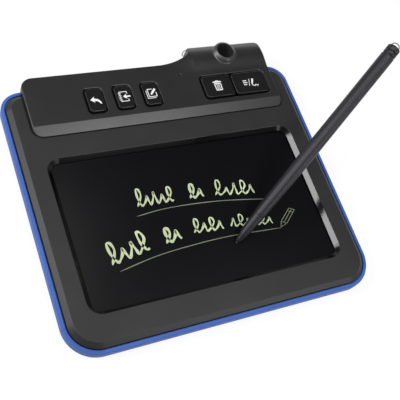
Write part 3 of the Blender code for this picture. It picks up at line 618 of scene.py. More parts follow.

# %% [markdown]
# The window's walls are smoother than the grained top: the mould is polished there. Their colour
# is painted shade, about ten times darker than the top's grey, so that the sunken walls read as shaded.
# A polishing stick reaches the long straight walls better than the tight corners, which stay
# satin and take the same painted shade. All of it is one piece, so it takes a second and a third material,
# by face.

# %% Polished window walls, with painted shade
# The window's walls and corners take these two painted-shade finishes, by face.
cover.data.materials.append(wall_painted_shade)
cover.data.materials.append(corner_painted_shade)
# polish_and_shade_top is where the polished, shade-painted band of the walls ends.
polish_and_shade_top = cover_top - 0.02 * wall_height
for face in cover.data.polygons:
    x, y, z = face.center
    beside = abs(x) < window_half and window_front < y < window_back
    if beside and film_top + gap < z < polish_and_shade_top:
        past_side = abs(x) > window_half - window_radius
        past_end = y > window_back - window_radius or y < window_front + window_radius
        face.material_index = 2 if past_side and past_end else 1
print("polished faces:", sum(face.material_index == 1 for face in cover.data.polygons))

# %% [markdown]
# ## The key bar's housing
# The housing changes along its length: flat on the left, with a hollow sweep in the middle
# that carries it out to a hump on the right, where its back rolls over in a long quarter of an
# ellipse. Such a form is a loft. Slices are cut across the bar, every slice has the same number of
# points, and the skin is stretched from slice to slice.

# %% The roof's height
hump_rise = 1.75 * mm
hump_roll = 10 * mm
hump_drop = 4.5 * mm
crest = hump_back - hump_roll
roof_toe = key_row + key_depth / 2 + 0.65 * mm
top_round = 0.6 * mm
hump_end_round = 1.5 * mm
left_end_round = 0.9 * mm


def roof(x, y, edge_y):
    along = sweep_share(x)
    across = min(max((y - roof_toe) / (crest - roof_toe), 0.0), 1.0)
    height = bar_top + hump_rise * along ** 2 * across ** 2 * (3 - 2 * across)
    if y > crest:
        height -= hump_drop * (1 - sqrt(max(1 - ((y - crest) / hump_roll) ** 2, 0.0)))
    rolled = 1 - along if edge_y > hump_back - hair else 1.0
    return height - drawn_in(max(edge_y - y, 0.0), top_round) * rolled


# %% The front slope's height
bar_floor = cover_top + gap
slope_grade = (bar_top - bar_floor) / bar_slope
brow = bar_front + bar_slope
brow_soft = 0.2 * mm


def front_height(y):
    """A straight slope up to a brow that is soft over a fifth of a millimetre."""
    beyond = (y - brow) / brow_soft
    if beyond <= -1:
        return bar_floor + (y - bar_front) * slope_grade
    if beyond >= 1:
        return bar_top
    return bar_top - slope_grade * brow_soft * (1 - beyond) ** 2 / 4


def end_sag(x, end, y, left_round):
    """How far the rounded edge at either end lowers the top."""
    if x < 0:
        return drawn_in(end, left_round)
    toward_crest = min(max((y - roof_toe) / (crest - roof_toe), 0.0), 1.0)
    return drawn_in(end, top_round + (hump_end_round - top_round) * toward_crest)


# %% One slice of the housing
def slice_across(x, inset, from_front, drop, bottom, left_round, roof_points=14, back_points=14):
    """A slice from the front to the back. For the hollow, drop is the thickness of the roof."""
    end, nose, wall = wall_lines(x, inset)
    start = bar_front + from_front + nose
    lowest = bar_floor if from_front else bottom

    def lowered(y, height):
        return height - drop - end_sag(x, end, y, left_round)

    points = [Vector((x, start, bottom)),
              Vector((x, start, max(lowered(start, front_height(start)), lowest)))]
    rows = [max(brow + reach * brow_soft, start + (i + 1) * hair)
            for i, reach in enumerate((-1, -0.5, 0, 0.5, 1))]
    for y in rows + [brow + 2 * mm, roof_toe - 0.5 * mm]:
        points.append(Vector((x, y, lowered(y, front_height(y)))))
    shoulder = min(crest, wall - top_round)
    back_rows = [roof_toe + (shoulder - roof_toe) * i / roof_points for i in range(roof_points + 1)]
    back_rows += [shoulder + (wall - shoulder) * sin(i / back_points * pi / 2)
                  for i in range(1, back_points + 1)]
    for y in back_rows:
        points.append(Vector((x, y, lowered(y, roof(x, y, wall)))))
    points.append(Vector((x, wall, bottom)))
    return points


# %% Loft and hollow the housing
housing = skin("key_bar", [slice_across(x, 0.0, 0.0, 0.0, 0.0, left_end_round) for x in columns(0.0)])
bar_wall = 1.8 * mm
bar_skin = 1.6 * mm
hollow_slices = [slice_across(x, bar_wall, seat, bar_skin, -past, top_round, 8, 8)
                 for x in columns(bar_wall, 6, 12, 2)]
carve(housing, skin("hollow", hollow_slices))
wide = 2 * tray_half
carve(housing,
      block((-wide, tray_front, -past), (wide, tray_back + gap, tray_top + gap)),
      block((-wide, tray_front, -past), (wide, cover_back + gap, bar_floor)))
print("housing faces:", len(housing.data.polygons))

# %% [markdown]
# ## Pockets for the keys
# Each pocket is a hole with rounded corners. Its upper edge rolls over softly, and in the
# photograph that roll is the pale line beside each key. The cutter flares at its top in a
# quarter of an ellipse, so that it leaves the roll as it cuts.

# %% Key places and pockets
pair_right = bar_half - 5.2 * mm
pair_middle = pair_right - 23.9 * mm
pair_left = pair_middle - 20.4 * mm
small_width = 11.2 * mm
small_pitch = 16.85 * mm
undo_low, undo_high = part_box("undo_key")
first_key = (undo_low.x + undo_high.x) / 2
pocket_radius = 2.6 * mm
rim_width = 0.9 * mm
rim_depth = 0.5 * mm
small_keys = {name: (first_key + i * small_pitch - small_width / 2,
                     first_key + i * small_pitch + small_width / 2)
              for i, name in enumerate(("undo", "import", "note"))}


def key_ring(low_x, high_x, grow, radius, height):
    """A rounded rectangle round a key's place, grown by a distance."""
    middle = Vector(((low_x + high_x) / 2, 0, 0))
    corner = max(radius + grow, hair)
    ring = corner_ring((high_x - low_x) / 2 + grow, key_row - key_depth / 2 - grow,
                       key_row + key_depth / 2 + grow, corner, corner, height, 8)
    return [point + middle for point in ring]


def pocket(low_x, high_x):
    flare_steps = 6
    flare = [(0.0, bar_top - bar_skin - past)]
    for i in range(flare_steps + 1):
        angle = i / flare_steps * pi / 2
        flare.append((rim_width * (1 - cos(angle)), bar_top - rim_depth * (1 - sin(angle))))
    flare.append((rim_width, bar_top + past))
    return skin("pocket", [key_ring(low_x, high_x, grow, pocket_radius, height) for grow, height in flare])


for low_x, high_x in list(small_keys.values()) + [(pair_left, pair_right)]:
    carve(housing, pocket(low_x, high_x))

# %% Pinhole, holder's seat and socket mouth
pinhole_x = bar_half - 60.5 * mm
pinhole_y = key_row + key_depth / 2 + 2.3 * mm
pinhole_radius = 0.6 * mm
holder_x = bar_half - 26.8 * mm
holder_y = hump_back - 8.1 * mm
sleeve_radius = 6 * mm
holder_seat = bar_top - 3.5 * mm
pinhole_mouth = pinhole_radius + 0.45 * mm
countersink = [(pinhole_radius, bar_top - bar_skin - past), (pinhole_radius, bar_top - 0.25 * mm),
               (pinhole_mouth, bar_top + hair), (pinhole_mouth, bar_top + past)]
pinhole_rings = [circle_ring(radius, height, 24, pinhole_x, pinhole_y)
                 for radius, height in countersink]
carve(housing, skin("pinhole", pinhole_rings))
carve(housing, rod(holder_x, holder_y, holder_seat, bar_top + past, sleeve_radius + gap, 48))
socket_low, socket_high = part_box("usb_socket")
mouth_middle = (socket_low + socket_high) / 2
mouth_half = (socket_high - socket_low) / 2
mouth_low = mouth_middle.z - mouth_half.z - gap
mouth_high = mouth_middle.z + mouth_half.z + gap
mouth_corner = 1.4 * mm
mouth_rings = []
for y in (bar_back - bar_wall - past, bar_back + past):
    ring = corner_ring(mouth_half.x + gap, mouth_low, mouth_high, mouth_corner, mouth_corner, 0.0, 6)
    mouth_rings.append([Vector((mouth_middle.x + point.x, y, point.y)) for point in ring])
carve(housing, skin("socket_mouth", mouth_rings))
shade(housing, 28)
hand_over(housing, bar_grey, "pad", "bar_grey", "rear_cover")

# %% [markdown]
# ## Key caps
# The caps are near black and stand a little above the bar. Their top edges are rounded
# enough to carry a soft highlight. Each cap is a stack of rings with a quarter round at the
# top. A thin flange below catches under the bar, so that the cap can't fall out and nothing
# shows through the gap round it. Each cap rides on its own body so that it can be pressed.

# %% Cap skins
cap_gap = 0.8 * mm
pair_gap = 1.0 * mm
cap_round = 0.7 * mm
flange_reach = cap_gap + 0.8 * mm
cap_top = undo_high.z
flange_low = cap_top - 3.4 * mm
flange_thickness = 0.8 * mm


def key_cap(name, low_x, high_x, on_left, on_right):
    """on_left and on_right say on which sides the pocket's wall stands."""
    low_x += cap_gap if on_left else pair_gap / 2
    high_x -= cap_gap if on_right else pair_gap / 2
    profile = [(0.0, flange_low + flange_thickness / 2)]
    profile += round_steps(cap_round, cap_top - cap_round, cap_round, 180, 90, 7)
    profile.append((2 * mm, cap_top))
    middle = Vector(((low_x + high_x) / 2, 0, 0))
    corner = pocket_radius - cap_gap
    rings = profile_rings(profile, (high_x - low_x) / 2, key_row - key_depth / 2 + cap_gap,
                          key_row + key_depth / 2 - cap_gap, corner, corner, 8)
    cap = skin(name + "_cap", [[point + middle for point in ring] for ring in rings])
    left_edge = low_x - (flange_reach if on_left else 0)
    right_edge = high_x + (flange_reach if on_right else 0)
    flange = skin("flange", [key_ring(left_edge, right_edge, 0.0, pocket_radius, height)
                             for height in (flange_low, flange_low + flange_thickness)])
    carve(cap, flange, operation="UNION")
    shade(cap)
    hand_over(cap, key_black, name + "_key", "key_black", name + "_key")


for name, (low_x, high_x) in small_keys.items():
    key_cap(name, low_x, high_x, True, True)
key_cap("clear", pair_left, pair_middle, True, False)
key_cap("mode", pair_middle, pair_right, False, True)

# %% [markdown]
# ## Printed symbols
# The white symbols are pad-printed, so they lie on the cap as a film of ink far thinner than
# a hair. A picture could carry them, but drawn shapes stay crisp at any distance. A symbol is
# a list of strokes (a path with a width) and patches (a filled outline), drawn in millimetres
# about the middle of the key and given a little thickness.

# %% Strokes and patches
def stroke(bm, path, width):
    """A flat ribbon along a path of (x, y) points, with mitred corners."""
    count = len(path)
    left, right = [], []
    for i, point in enumerate(path):
        here = Vector(point)
        before = Vector(path[i - 1]) if i else here
        after = Vector(path[i + 1]) if i < count - 1 else here
        first = (here - before).normalized() if here != before else (after - here).normalized()
        second = (after - here).normalized() if after != here else first
        normal = Vector((-first.y - second.y, first.x + second.x)).normalized()
        normal = normal / max(normal.dot(Vector((-first.y, first.x))), 0.5)
        left.append(bm.verts.new((*(here + normal * width / 2), 0)))
        right.append(bm.verts.new((*(here - normal * width / 2), 0)))
    for i in range(count - 1):
        bm.faces.new((right[i], right[i + 1], left[i + 1], left[i]))


def patch(bm, outline):
    bm.faces.new([bm.verts.new((*point, 0)) for point in outline])


def bend(centre, radius, from_degrees, to_degrees, steps=12):
    turn = (to_degrees - from_degrees) / steps
    return [(centre[0] + radius * cos(radians(from_degrees + turn * i)),
             centre[1] + radius * sin(radians(from_degrees + turn * i))) for i in range(steps + 1)]


# %% The undo arrow
def draw_undo(bm):
    patch(bm, [(-3.1, 0.1), (-0.7, 2.0), (-0.7, -1.8)])
    outer = bend((-0.8, -3.0), 3.75, 90, 8)
    inner = bend((-1.0, -3.9), 3.3, 24, 86)
    patch(bm, outer + [(2.9, -3.1)] + inner)


# %% The import symbol: an arrow into a ruled page
def draw_import(bm):
    stroke(bm, [(2.1, 1.5), (2.1, 3.1), (-2.3, 3.1), (-2.3, -3.1), (2.1, -3.1), (2.1, -1.7)], 0.42)
    for y in (2.1, 0.7, -0.7, -2.1):
        stroke(bm, [(-3.3, y), (-1.5, y)], 0.42)
    patch(bm, [(-0.7, -0.1), (1.3, 1.5), (1.3, 0.35), (3.7, 0.35),
               (3.7, -0.55), (1.3, -0.55), (1.3, -1.7)])


# %% The note symbol: a pencil over a sheet with a second sheet behind
def draw_note(bm):
    stroke(bm, [(0.8, 2.8), (-2.1, 2.8), (-2.1, -2.2), (2.7, -2.2), (2.7, 0.6)], 0.45)
    stroke(bm, [(-3.1, 2.0), (-3.1, -3.2), (1.9, -3.2)], 0.38)
    patch(bm, [(-0.9, -1.1), (-0.6, 0.1), (2.1, 3.2), (3.1, 2.4), (0.3, -0.7)])


# %% The bin
def draw_bin(bm):
    patch(bm, [(-2.9, 2.1), (2.9, 2.1), (2.6, 3.0), (1.1, 3.0),
               (0.8, 3.5), (-0.8, 3.5), (-1.1, 3.0), (-2.6, 3.0)])
    stroke(bm, [(-2.2, 1.35), (2.2, 1.35)], 0.7)
    stroke(bm, [(-2.05, 1.1), (-1.8, -3.1), (1.8, -3.1), (2.05, 1.1)], 0.65)
    for x in (-0.75, 0.0, 0.75):
        stroke(bm, [(x, 1.1), (x, -2.5)], 0.34)


# %% The mode symbol: typed lines, a slash, and a pen that leaves a wavy line
def draw_pen_mode(bm):
    for y, reach in ((1.7, 2.6), (0.3, 3.0), (-1.1, 2.2)):
        stroke(bm, [(-5.0, y), (-5.0 + reach, y)], 0.62)
    stroke(bm, [(-1.5, -2.2), (-0.2, 2.8)], 0.34)
    patch(bm, [(0.5, -1.5), (0.5, -0.3), (1.6, 2.9), (2.7, 2.5), (1.5, -0.7)])
    tail = [(0.6 + 0.25 * i, -2.1 + 0.5 * sin(i * 0.8)) for i in range(18)]
    stroke(bm, tail, 0.42)


# %% Lay the print on the caps
ink_height = 0.03 * mm


def print_symbol(name, draw, x, y):
    bm = bmesh.new()
    draw(bm)
    sheets = bmesh.ops.extrude_face_region(bm, geom=bm.faces[:])["geom"]
    raised = [v for v in sheets if isinstance(v, bmesh.types.BMVert)]
    bmesh.ops.translate(bm, vec=(0, 0, ink_height / mm), verts=raised)
    bmesh.ops.recalc_face_normals(bm, faces=bm.faces)
    symbol = piece_from(name + "_symbol", bm)
    symbol.data.transform(Matrix.Translation((x, y, cap_top + hair / 2)) @ Matrix.Scale(mm, 4))
    hand_over(symbol, key_print, name + "_key", "key_black")


small_drawings = {"undo": draw_undo, "import": draw_import, "note": draw_note}
for name, (low_x, high_x) in small_keys.items():
    print_symbol(name, small_drawings[name], (low_x + high_x) / 2, key_row)
print_symbol("clear", draw_bin, (pair_left + pair_middle) / 2, key_row)
print_symbol("mode", draw_pen_mode, (pair_middle + pair_right) / 2, key_row - 0.6 * mm)

# %% [markdown]
# ## The film and what was written on it
# The display is a pressure film: wherever the pen presses, it turns pale. The film keeps its
# solid and only takes a finish. The writing is ribbons that lie on it. Real handwriting has
# pressure, so the ribbons swell and thin along their length. The marks here are plain scribbled
# loops in two rows with an underline each, where a customer's own words would be.

# %% Film finish
frame["nodes"]["lcd_panel"].data.materials.clear()
frame["nodes"]["lcd_panel"].data.materials.append(film_black)


# %% A pressed line
def pressed_line(bm, path, width, swell=0.25):
    """A ribbon whose width swells and thins, and tapers at its two ends."""
    count = len(path)
    edges = []
    for i, point in enumerate(path):
        here = Vector(point)
        ahead = Vector(path[min(i + 1, count - 1)]) - Vector(path[max(i - 1, 0)])
        side = Vector((-ahead.y, ahead.x)).normalized()
        taper = min(1.0, 0.35 + 0.3 * min(i, count - 1 - i))
        half = width / 2 * taper * (1 + swell * sin(i * 0.55))
        edges.append((bm.verts.new((*(here + side * half), 0)),
                      bm.verts.new((*(here - side * half), 0))))
    for (a, b), (c, d) in zip(edges, edges[1:]):
        bm.faces.new((b, d, c, a))


# %% Scribbled words
def flow(points, steps=7):
    """A smooth path through points, each stretch a cubic that leans on its neighbours."""
    ends = [points[0]] + list(points) + [points[-1]]
    path = []
    for before, first, second, after in zip(ends, ends[1:], ends[2:], ends[3:]):
        for i in range(steps):
            t = i / steps
            path.append(0.5 * (2 * first + (second - before) * t
                               + (2 * before - 5 * first + 4 * second - after) * t ** 2
                               + (3 * first - before - 3 * second + after) * t ** 3))
    return path + [points[-1]]


def scribble(start, end, tall, swing_shares):
    """Quick joined swings of the pen from start to end. A share over 0.8 makes a loop."""
    start, end = Vector(start), Vector(end)
    along = (end - start).normalized()
    up = Vector((-along.y, along.x))
    step = (end - start).length / len(swing_shares)
    knots = [start]
    for i, share in enumerate(swing_shares):
        corner = start + along * step * i
        if share > 0.8:
            turns = ((0.75, 0.55), (0.72, 0.95), (0.38, 1.0), (0.30, 0.5), (0.55, 0.05), (0.85, 0.06))
        else:
            turns = ((0.30, 0.55), (0.48, 1.0), (0.62, 0.4), (0.80, 0.0))
        knots += [corner + along * step * across + up * tall * share * rise for across, rise in turns]
    return flow(knots)


words = (((-32.9, -3.2), (-10.9, -3.5), 10.0, 1.0, (1.0, 0.55, 0.7, 0.5, 0.85)),
         ((-2.0, -3.9), (7.2, -4.3), 8.2, 1.3, (1.0, 0.6)),
         ((13.4, -4.8), (38.6, -8.2), 9.0, 0.9, (1.0, 0.5, 0.75, 0.9, 0.6)),
         ((-56.0, -32.2), (-33.0, -27.8), 11.5, 1.35, (1.0, 0.55, 0.65, 0.95)),
         ((-24.0, -26.8), (-13.8, -25.8), 8.0, 1.45, (1.0, 0.7)),
         ((-6.8, -24.2), (11.8, -25.4), 8.2, 0.95, (0.95, 0.6, 0.9, 0.6)),
         ((15.6, -24.9), (42.2, -28.3), 6.6, 0.8, (0.7, 1.0, 0.6, 0.75, 0.9, 0.6)))
ink_bm = bmesh.new()
for start, end, tall, width, swing_shares in words:
    pressed_line(ink_bm, scribble(start, end, tall, swing_shares), width)
writing = piece_from("written_loops", ink_bm)
trace_lift = 0.04 * mm
lift = Matrix.Translation((0, 0, film_top + trace_lift)) @ Matrix.Scale(mm, 4)
writing.data.transform(lift)
hand_over(writing, pen_trace, "pad", "screen_black")

# %% Underlines and a small drawing of a pencil
line_bm = bmesh.new()
for knots in (((-35.2, -8.6), (-19.2, -7.2), (0.0, -7.6), (19.6, -9.3), (42.1, -12.7)),
              ((-53.2, -36.4), (-31.5, -32.5), (-8.4, -30.7), (14.1, -30.3), (45.4, -31.8))):
    pressed_line(line_bm, flow([Vector(knot) for knot in knots]), 0.42, 0.15)
for knots in (((46.8, -28.2), (55.0, -21.2), (58.2, -22.8), (49.9, -29.9), (46.8, -28.2)),
              ((46.8, -28.2), (45.3, -31.4), (49.9, -29.9)), ((48.4, -29.0), (56.6, -22.0)),
              ((53.4, -22.6), (56.6, -24.2))):
    for first, second in zip(knots, knots[1:]):
        stroke(line_bm, [first, second], 0.34)
underlines = piece_from("underlines", line_bm)
underlines.data.transform(lift)
hand_over(underlines, thin_trace, "pad", "screen_black")

# %% [markdown]
# ## The pen holder
# The holder is a short cup that flares out of the hump's back like the mouth of a vase. It is
# turned about an upright axis, so a stack of circles makes it. The flare's last ring takes its
# height from the hump's own surface, so it runs into the hump with no hard corner all round.
# Its plastic reflects more than the bar's, and its colour is painted a little lighter than the bar's grey
# as a painted highlight on the collar.

# %% Turned holder
holder_low, holder_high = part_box("pen_holder")
bore = 4.9 * mm
mouth = 5.45 * mm
rim_outer = 5.8 * mm
slope_outer = 6.9 * mm
flare_outer = 8.6 * mm
hump_clearance = 0.4 * mm
rim_top = holder_high.z
slope_foot = rim_top - 1.05 * mm
floor_inside = holder_low.z + 1 * mm


def flare_ring(share, sink=0.0, points=72):
    """A ring of the flare: share 0 is at the slope's foot, share 1 on the hump's own surface."""
    radius = slope_outer + (flare_outer - slope_outer) * share
    ring = []
    for point in circle_ring(radius, 0.0, points, holder_x, holder_y):
        outward = Vector((point.x - holder_x, point.y - holder_y)) * flare_outer / radius
        foot_x, foot_y = holder_x + outward.x, min(holder_y + outward.y, hump_back - hump_clearance)
        foot = roof(foot_x, foot_y, hump_back) - 0.05 * mm
        point.y = min(point.y, hump_back - hump_clearance)
        point.z = foot + (slope_foot - foot) * (1 - share) ** 2.2 - sink
        ring.append(point)
    return ring


cup = [(hair, floor_inside), (bore - 0.5 * mm, floor_inside), (bore, floor_inside + 0.5 * mm),
       (bore, rim_top - 0.8 * mm), (mouth, rim_top - 0.2 * mm), (mouth + 0.12 * mm, rim_top - 0.02 * mm)]
cup += [(rim_outer - 0.1 * mm, rim_top), (rim_outer, rim_top - 0.03 * mm)]
cup_rings = [circle_ring(radius, height, 72, holder_x, holder_y) for radius, height in cup]
flare_rings = 10
flare_sink = 1.2 * mm
cup_rings += [flare_ring(i / flare_rings) for i in range(flare_rings + 1)]
cup_rings.append(flare_ring(1.0, flare_sink))
cup_rings += [circle_ring(radius, height, 72, holder_x, holder_y) for radius, height in
              ((sleeve_radius, bar_floor), (sleeve_radius, holder_low.z), (hair, holder_low.z))]
holder = skin("holder_cup", cup_rings)
shade(holder, 50)
hand_over(holder, holder_highlight_grey, "pad", "bar_grey", "pen_holder")

# %% [markdown]
# ## The tether loop
# A small bright staple stands out of the hump's left shoulder. A tied cord would go through
# it. A curve with a round bevel is the natural way to make wire.

# %% Wire along points
def wire(name, points, radius, material, body, slot, node, smooth_steps=3):
    curve = bpy.data.curves.new(name, "CURVE")
    curve.dimensions = "3D"
    curve.bevel_depth = radius
    curve.bevel_resolution = smooth_steps
    curve.use_fill_caps = True
    spline = curve.splines.new("POLY")
    spline.points.add(len(points) - 1)
    for knot, place in zip(spline.points, points):
        knot.co = (*place, 1.0)
    piece = bpy.data.objects.new(name, curve)
    bpy.context.scene.collection.objects.link(piece)
    hand_over(piece, material, body, slot, node)


loop_share = 0.95
loop_x = sweep_start + hump_sweep * loop_share
loop_height = 8.4 * mm
loop_middle = Vector((loop_x, back_line(loop_x), loop_height))
half_span = 3.7 * mm
back_shift = back_line(loop_x + half_span) - back_line(loop_x - half_span)
along = Vector((2 * half_span, back_shift, 0)).normalized()
out = Vector((-along.y, along.x, 0))
loop_reach = 2.6 * mm
leg = 3.4 * mm
arch_steps = 20
loop_points = [loop_middle - along * half_span - out * leg]
for i in range(arch_steps + 1):
    a = pi - i / arch_steps * pi
    loop_points.append(loop_middle + along * half_span * cos(a) + out * loop_reach * sin(a))
loop_points.append(loop_middle + along * half_span - out * leg)
wire("tether_staple", loop_points, 0.36 * mm, bright_wire, "pad", "steel", "tether_loop")

# %% [markdown]
# ## The pen
# The pen is one long turned form: a fine tip, a nose that swells quickly and then slowly into
# the barrel, a seam, and a tail with a bead, a domed cap and a wire loop. It is built upright
# on its tip and then leaned, because a profile is easiest to think about upright.

# %% The pen's place and lean
pen_tip = Vector((14.3 * mm, -35.25 * mm, film_top + gap))
lift_joint = next(joint for joint in frame["record"]["behaviour"]["joints"] if joint["name"] == "pen_lift")
pen_way = Vector(lift_joint["axis"]).normalized()
lean = Matrix.Translation(pen_tip) @ pen_way.to_track_quat("Z", "Y").to_matrix().to_4x4()
pen_radius = 3.93 * mm
swell_end = 69 * mm
nose_start = 1.2 * mm
nose_end = 20 * mm
pen_end = 138 * mm
barrel_end = pen_end - 6.05 * mm
swell_shares = ((0.0, 0.293), (0.045, 0.49), (0.10, 0.66), (0.185, 0.775),
                (0.29, 0.855), (0.48, 0.93), (0.75, 0.98), (1.0, 1.0))
least_stretch = 1e-6


def pen_width(height):
    """The pen's radius: a smooth curve through the shares of its full radius."""
    t = min(max((height - nose_start) / (swell_end - nose_start), 0.0), 1.0)
    knots = [swell_shares[0]] + list(swell_shares) + [swell_shares[-1]]
    for before, (t0, r0), (t1, r1), after in zip(knots, knots[1:], knots[2:], knots[3:]):
        if t <= t1 and t1 > t0:
            u = (t - t0) / (t1 - t0)
            slope0 = (r1 - before[1]) / max(t1 - before[0], least_stretch) * (t1 - t0)
            slope1 = (after[1] - r0) / max(after[0] - t0, least_stretch) * (t1 - t0)
            return pen_radius * ((2 * u ** 3 - 3 * u ** 2 + 1) * r0 + (u ** 3 - 2 * u ** 2 + u) * slope0
                                 + (3 * u ** 2 - 2 * u ** 3) * r1 + (u ** 3 - u ** 2) * slope1)
    return pen_radius


# %% Nose and barrel
def turned(name, profile, sharp=40):
    piece = skin(name, [circle_ring(radius, height, 56) for radius, height in profile])
    piece.data.transform(lean)
    return shade(piece, sharp)


steps = 26
seam = 0.06 * mm
spigot = 2.9 * mm
nose_heights = [nose_start + (nose_end - nose_start) * (i / steps) ** 1.5 for i in range(steps + 1)]
nib_hole = 0.9 * mm
seam_round = 0.12 * mm
nose = [(nib_hole, nose_start + 0.6 * mm), (nib_hole, nose_start + 0.02 * mm),
        (pen_width(nose_start) - 0.2 * mm, nose_start),
        (pen_width(nose_start), nose_start + 0.2 * mm)]
nose += [(pen_width(h), h) for h in nose_heights[4:-1]]
nose += [(pen_width(nose_end), nose_end - 0.15 * mm), (pen_width(nose_end) - seam_round, nose_end),
         (spigot, nose_end), (spigot, nose_end + 3 * mm)]
hand_over(turned("pen_tip_cone", nose), pen_grey, "pen", "pen_grey", "pen_nose")

barrel_low = nose_end + seam
barrel_steps = 60
barrel_heights = [barrel_low + (barrel_end - barrel_low) * i / barrel_steps
                  for i in range(barrel_steps + 1)]
barrel = [(spigot + seam, barrel_low), (pen_width(barrel_low) - seam_round, barrel_low),
          (pen_width(barrel_low), barrel_low + 0.15 * mm)]
barrel += [(pen_width(h), h) for h in barrel_heights[1:-1]]
barrel += [(pen_radius, barrel_end - 0.3 * mm), (pen_radius - 0.3 * mm, barrel_end),
           (spigot + seam, barrel_end)]
hand_over(turned("pen_body", barrel), pen_grey, "pen", "pen_grey", "pen_barrel")

# %% Tail, with its bead and domed cap
tail_radius = pen_radius - 0.12 * mm
waist = tail_radius - 0.6 * mm
groove_length = 0.3 * mm
bead_length = 2.0 * mm
tail_soft = 0.3 * mm
tail_low = barrel_end + gap


def soft_band(low, high):
    """A band of the tail whose two edges are chamfered."""
    return [(tail_radius - tail_soft, low), (tail_radius, low + tail_soft),
            (tail_radius, high - tail_soft), (tail_radius - tail_soft, high)]


bead_low = tail_low + groove_length
cap_low = bead_low + bead_length + groove_length
tail = [(2.4 * mm, tail_low - 1 * mm), (waist, tail_low), (waist, bead_low)]
tail += soft_band(bead_low, bead_low + bead_length)
dome = 1.2 * mm
dome_turns = [i / 8 * pi / 2 for i in range(9)]
tail += [(waist, bead_low + bead_length), (waist, cap_low)] + soft_band(cap_low, pen_end - dome)[:2]
tail += [(tail_radius - dome * (1 - cos(a)), pen_end - dome * (1 - sin(a))) for a in dome_turns]
tail.append((hair, pen_end))
hand_over(turned("pen_cap", tail, 50), pen_grey, "pen", "pen_grey", "pen_tail")

# %% Wire loop and nib
half_loop = 2.4 * mm
loop_rise = 2.38 * mm
arch_turns = [i / arch_steps * pi for i in range(arch_steps + 1)]
arch = [(half_loop, 0, pen_end - 1 * mm)]
arch += [(half_loop * cos(a), 0, pen_end + loop_rise * sin(a)) for a in arch_turns]
arch.append((-half_loop, 0, pen_end - 1 * mm))
wire("cap_loop", [lean @ Vector(p) for p in arch], 0.27 * mm, dark_wire, "pen", "steel", "pen_loop")

nib_radius = 0.65 * mm
nib_length = 8 * mm
nib_turns = [i / 6 * pi / 2 for i in range(1, 7)]
nib = [(hair, 0.0)] + [(nib_radius * sin(a), nib_radius * (1 - cos(a))) for a in nib_turns]
nib += [(nib_radius, nib_length), (hair, nib_length)]
hand_over(turned("nib_point", nib, 60), nib_plastic, "nib", "nib_grey", "pen_nib")

# %% [markdown]
# ## Pieces whose solids are already right
# Feet, screws, the socket's shell and everything inside the case have the right shape in the
# solid model. They only need a finish, which is assigned by name.

# %% Finishes for the other solids
finishes = {
    "foot": rubber_black, "screw": bright_wire, "switch": tinned_sheet, "usb_socket": tinned_sheet,
    "shield_plate": tinned_sheet, "board": board_green, "controller_chip": chip_black,
    "ribbon_cable": ribbon_amber, "pen_coil": copper_wire, "pen_sensor": chip_black,
}
finished = []
for name, node in frame["nodes"].items():
    for word, material in finishes.items():
        if word in name:
            node.data.materials.clear()
            node.data.materials.append(material)
            finished.append(name)
print("finished solids:", len(finished))

# %% [markdown]
# ## The table and the light
# Product photographs stand on plain white. The floor is a round matt sheet that sweeps up at
# its edge, as a studio's paper does. To the camera it is mostly a plain white glow, with a
# faint shadow left in it. The light comes from six soft boxes. One at the left fills the
# slopes that face it. A long strip overhead lights the bar's front slope, and one above left
# makes the pen's highlight. A faint one overhead, a little behind, lifts the film. A low one
# at the front right lights the front slope, and a wide low one behind lights the hump's roll.

# %% Floor
def white_sheet(name):
    material = bpy.data.materials.new(name)
    material.use_nodes = True
    nodes, links = material.node_tree.nodes, material.node_tree.links
    shader = nodes["Principled BSDF"]
    shader.inputs["Base Color"].default_value = (0.95, 0.95, 0.95, 1.0)
    shader.inputs["Roughness"].default_value = 0.9
    shader.inputs["Specular IOR Level"].default_value = 0.1
    glow = nodes.new("ShaderNodeEmission")
    glow.inputs["Strength"].default_value = 1.0
    rays = nodes.new("ShaderNodeLightPath")
    seen = nodes.new("ShaderNodeMath")
    seen.operation = "MAXIMUM"
    links.new(rays.outputs["Is Camera Ray"], seen.inputs[0])
    links.new(rays.outputs["Is Glossy Ray"], seen.inputs[1])
    through = nodes.new("ShaderNodeMath")
    through.operation = "MAXIMUM"
    links.new(seen.outputs["Value"], through.inputs[0])
    links.new(rays.outputs["Is Transmission Ray"], through.inputs[1])
    keep = nodes.new("ShaderNodeMath")
    keep.operation = "MULTIPLY"
    keep.inputs[1].default_value = 0.82
    links.new(through.outputs["Value"], keep.inputs[0])
    blend = nodes.new("ShaderNodeMixShader")
    links.new(keep.outputs["Value"], blend.inputs["Fac"])
    links.new(shader.outputs["BSDF"], blend.inputs[1])
    links.new(glow.outputs["Emission"], blend.inputs[2])
    links.new(blend.outputs["Shader"], nodes["Material Output"].inputs["Surface"])
    return material


flat_reach = 4.0
sweep_reach = 4.0
sweep_height = 0.9
sweep_steps = 8
sheet_points = 96
sheet_rings = [circle_ring(flat_reach * share, 0.0, sheet_points) for share in (0.1, 1.0)]
for i in range(1, sweep_steps + 1):
    angle = i / sweep_steps * pi / 2
    sheet_rings.append(circle_ring(flat_reach + sweep_reach * sin(angle),
                                   sweep_height * (1 - cos(angle)), sheet_points))
table = skin("table_top", sheet_rings, last_cap=False)
table.location.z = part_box("foot_1")[0].z
table.data.materials.append(white_sheet("white_sheet"))

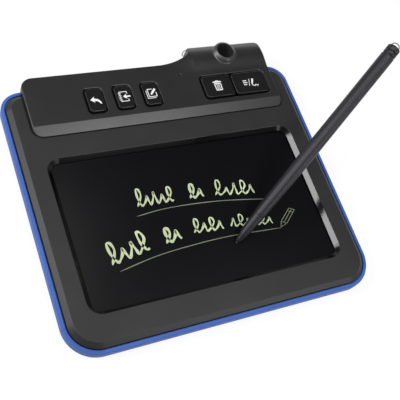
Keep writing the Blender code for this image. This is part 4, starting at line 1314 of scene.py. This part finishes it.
# %% Surrounding light
world = bpy.data.worlds.new("soft_room")
bpy.context.scene.world = world
world.use_nodes = True
room = world.node_tree.nodes["Background"]
room.inputs["Color"].default_value = (1.0, 1.0, 1.0, 1.0)
room.inputs["Strength"].default_value = 0.11


# %% Soft boxes
def soft_box(name, direction, distance, width, height, power):
    light = bpy.data.lights.new(name, "AREA")
    light.shape = "RECTANGLE"
    light.size = width
    light.size_y = height
    light.energy = power
    lamp = bpy.data.objects.new(name, light)
    bpy.context.scene.collection.objects.link(lamp)
    way = Vector(direction).normalized()
    lamp.location = way * distance
    lamp.rotation_mode = "QUATERNION"
    lamp.rotation_quaternion = way.to_track_quat("Z", "Y")


soft_box("left_box", (-0.78, 0.31, 0.54), 0.90, 0.36, 0.29, 4.6)
soft_box("top_strip", (0.25, -0.23, 0.93), 0.95, 0.60, 0.21, 3.1)
soft_box("pen_box", (-0.42, -0.05, 0.90), 0.95, 0.38, 0.32, 3.2)
soft_box("back_glow", (-0.01, 0.31, 0.95), 0.95, 0.34, 0.24, 0.6)
soft_box("front_box", (0.43, -0.78, 0.45), 0.95, 0.50, 0.18, 2.0)
soft_box("far_box", (0.45, 0.86, 0.22), 0.95, 0.95, 0.26, 1.5)

# %% [markdown]
# ## The camera
# The photograph looks down from the front left, with the camera turned a little about its own
# axis. Its place and its lens were worked out from how the pad's edges run towards their
# vanishing points.

# %% Camera
lens_data = bpy.data.cameras.new("photo_camera")
lens_data.sensor_width = 36
lens_data.lens = 65.68
lens_data.clip_start = 0.01
camera = bpy.data.objects.new("photo_camera", lens_data)
bpy.context.scene.collection.objects.link(camera)
ahead = Vector((0.41989, 0.34193, -0.84070)).normalized()
to_right = Vector((0.89178, -0.32749, 0.31220))
to_right = (to_right - ahead * to_right.dot(ahead)).normalized()
upward = to_right.cross(ahead)
turn = Matrix((to_right, upward, -ahead)).transposed()
camera.matrix_world = Matrix.Translation((-166.30 * mm, -144.12 * mm, 343.76 * mm)) @ turn.to_4x4()
bpy.context.scene.camera = camera
bpy.context.scene.view_settings.view_transform = "Standard"
print("camera stands", round(camera.location.length, 3), "m from the pad's middle")
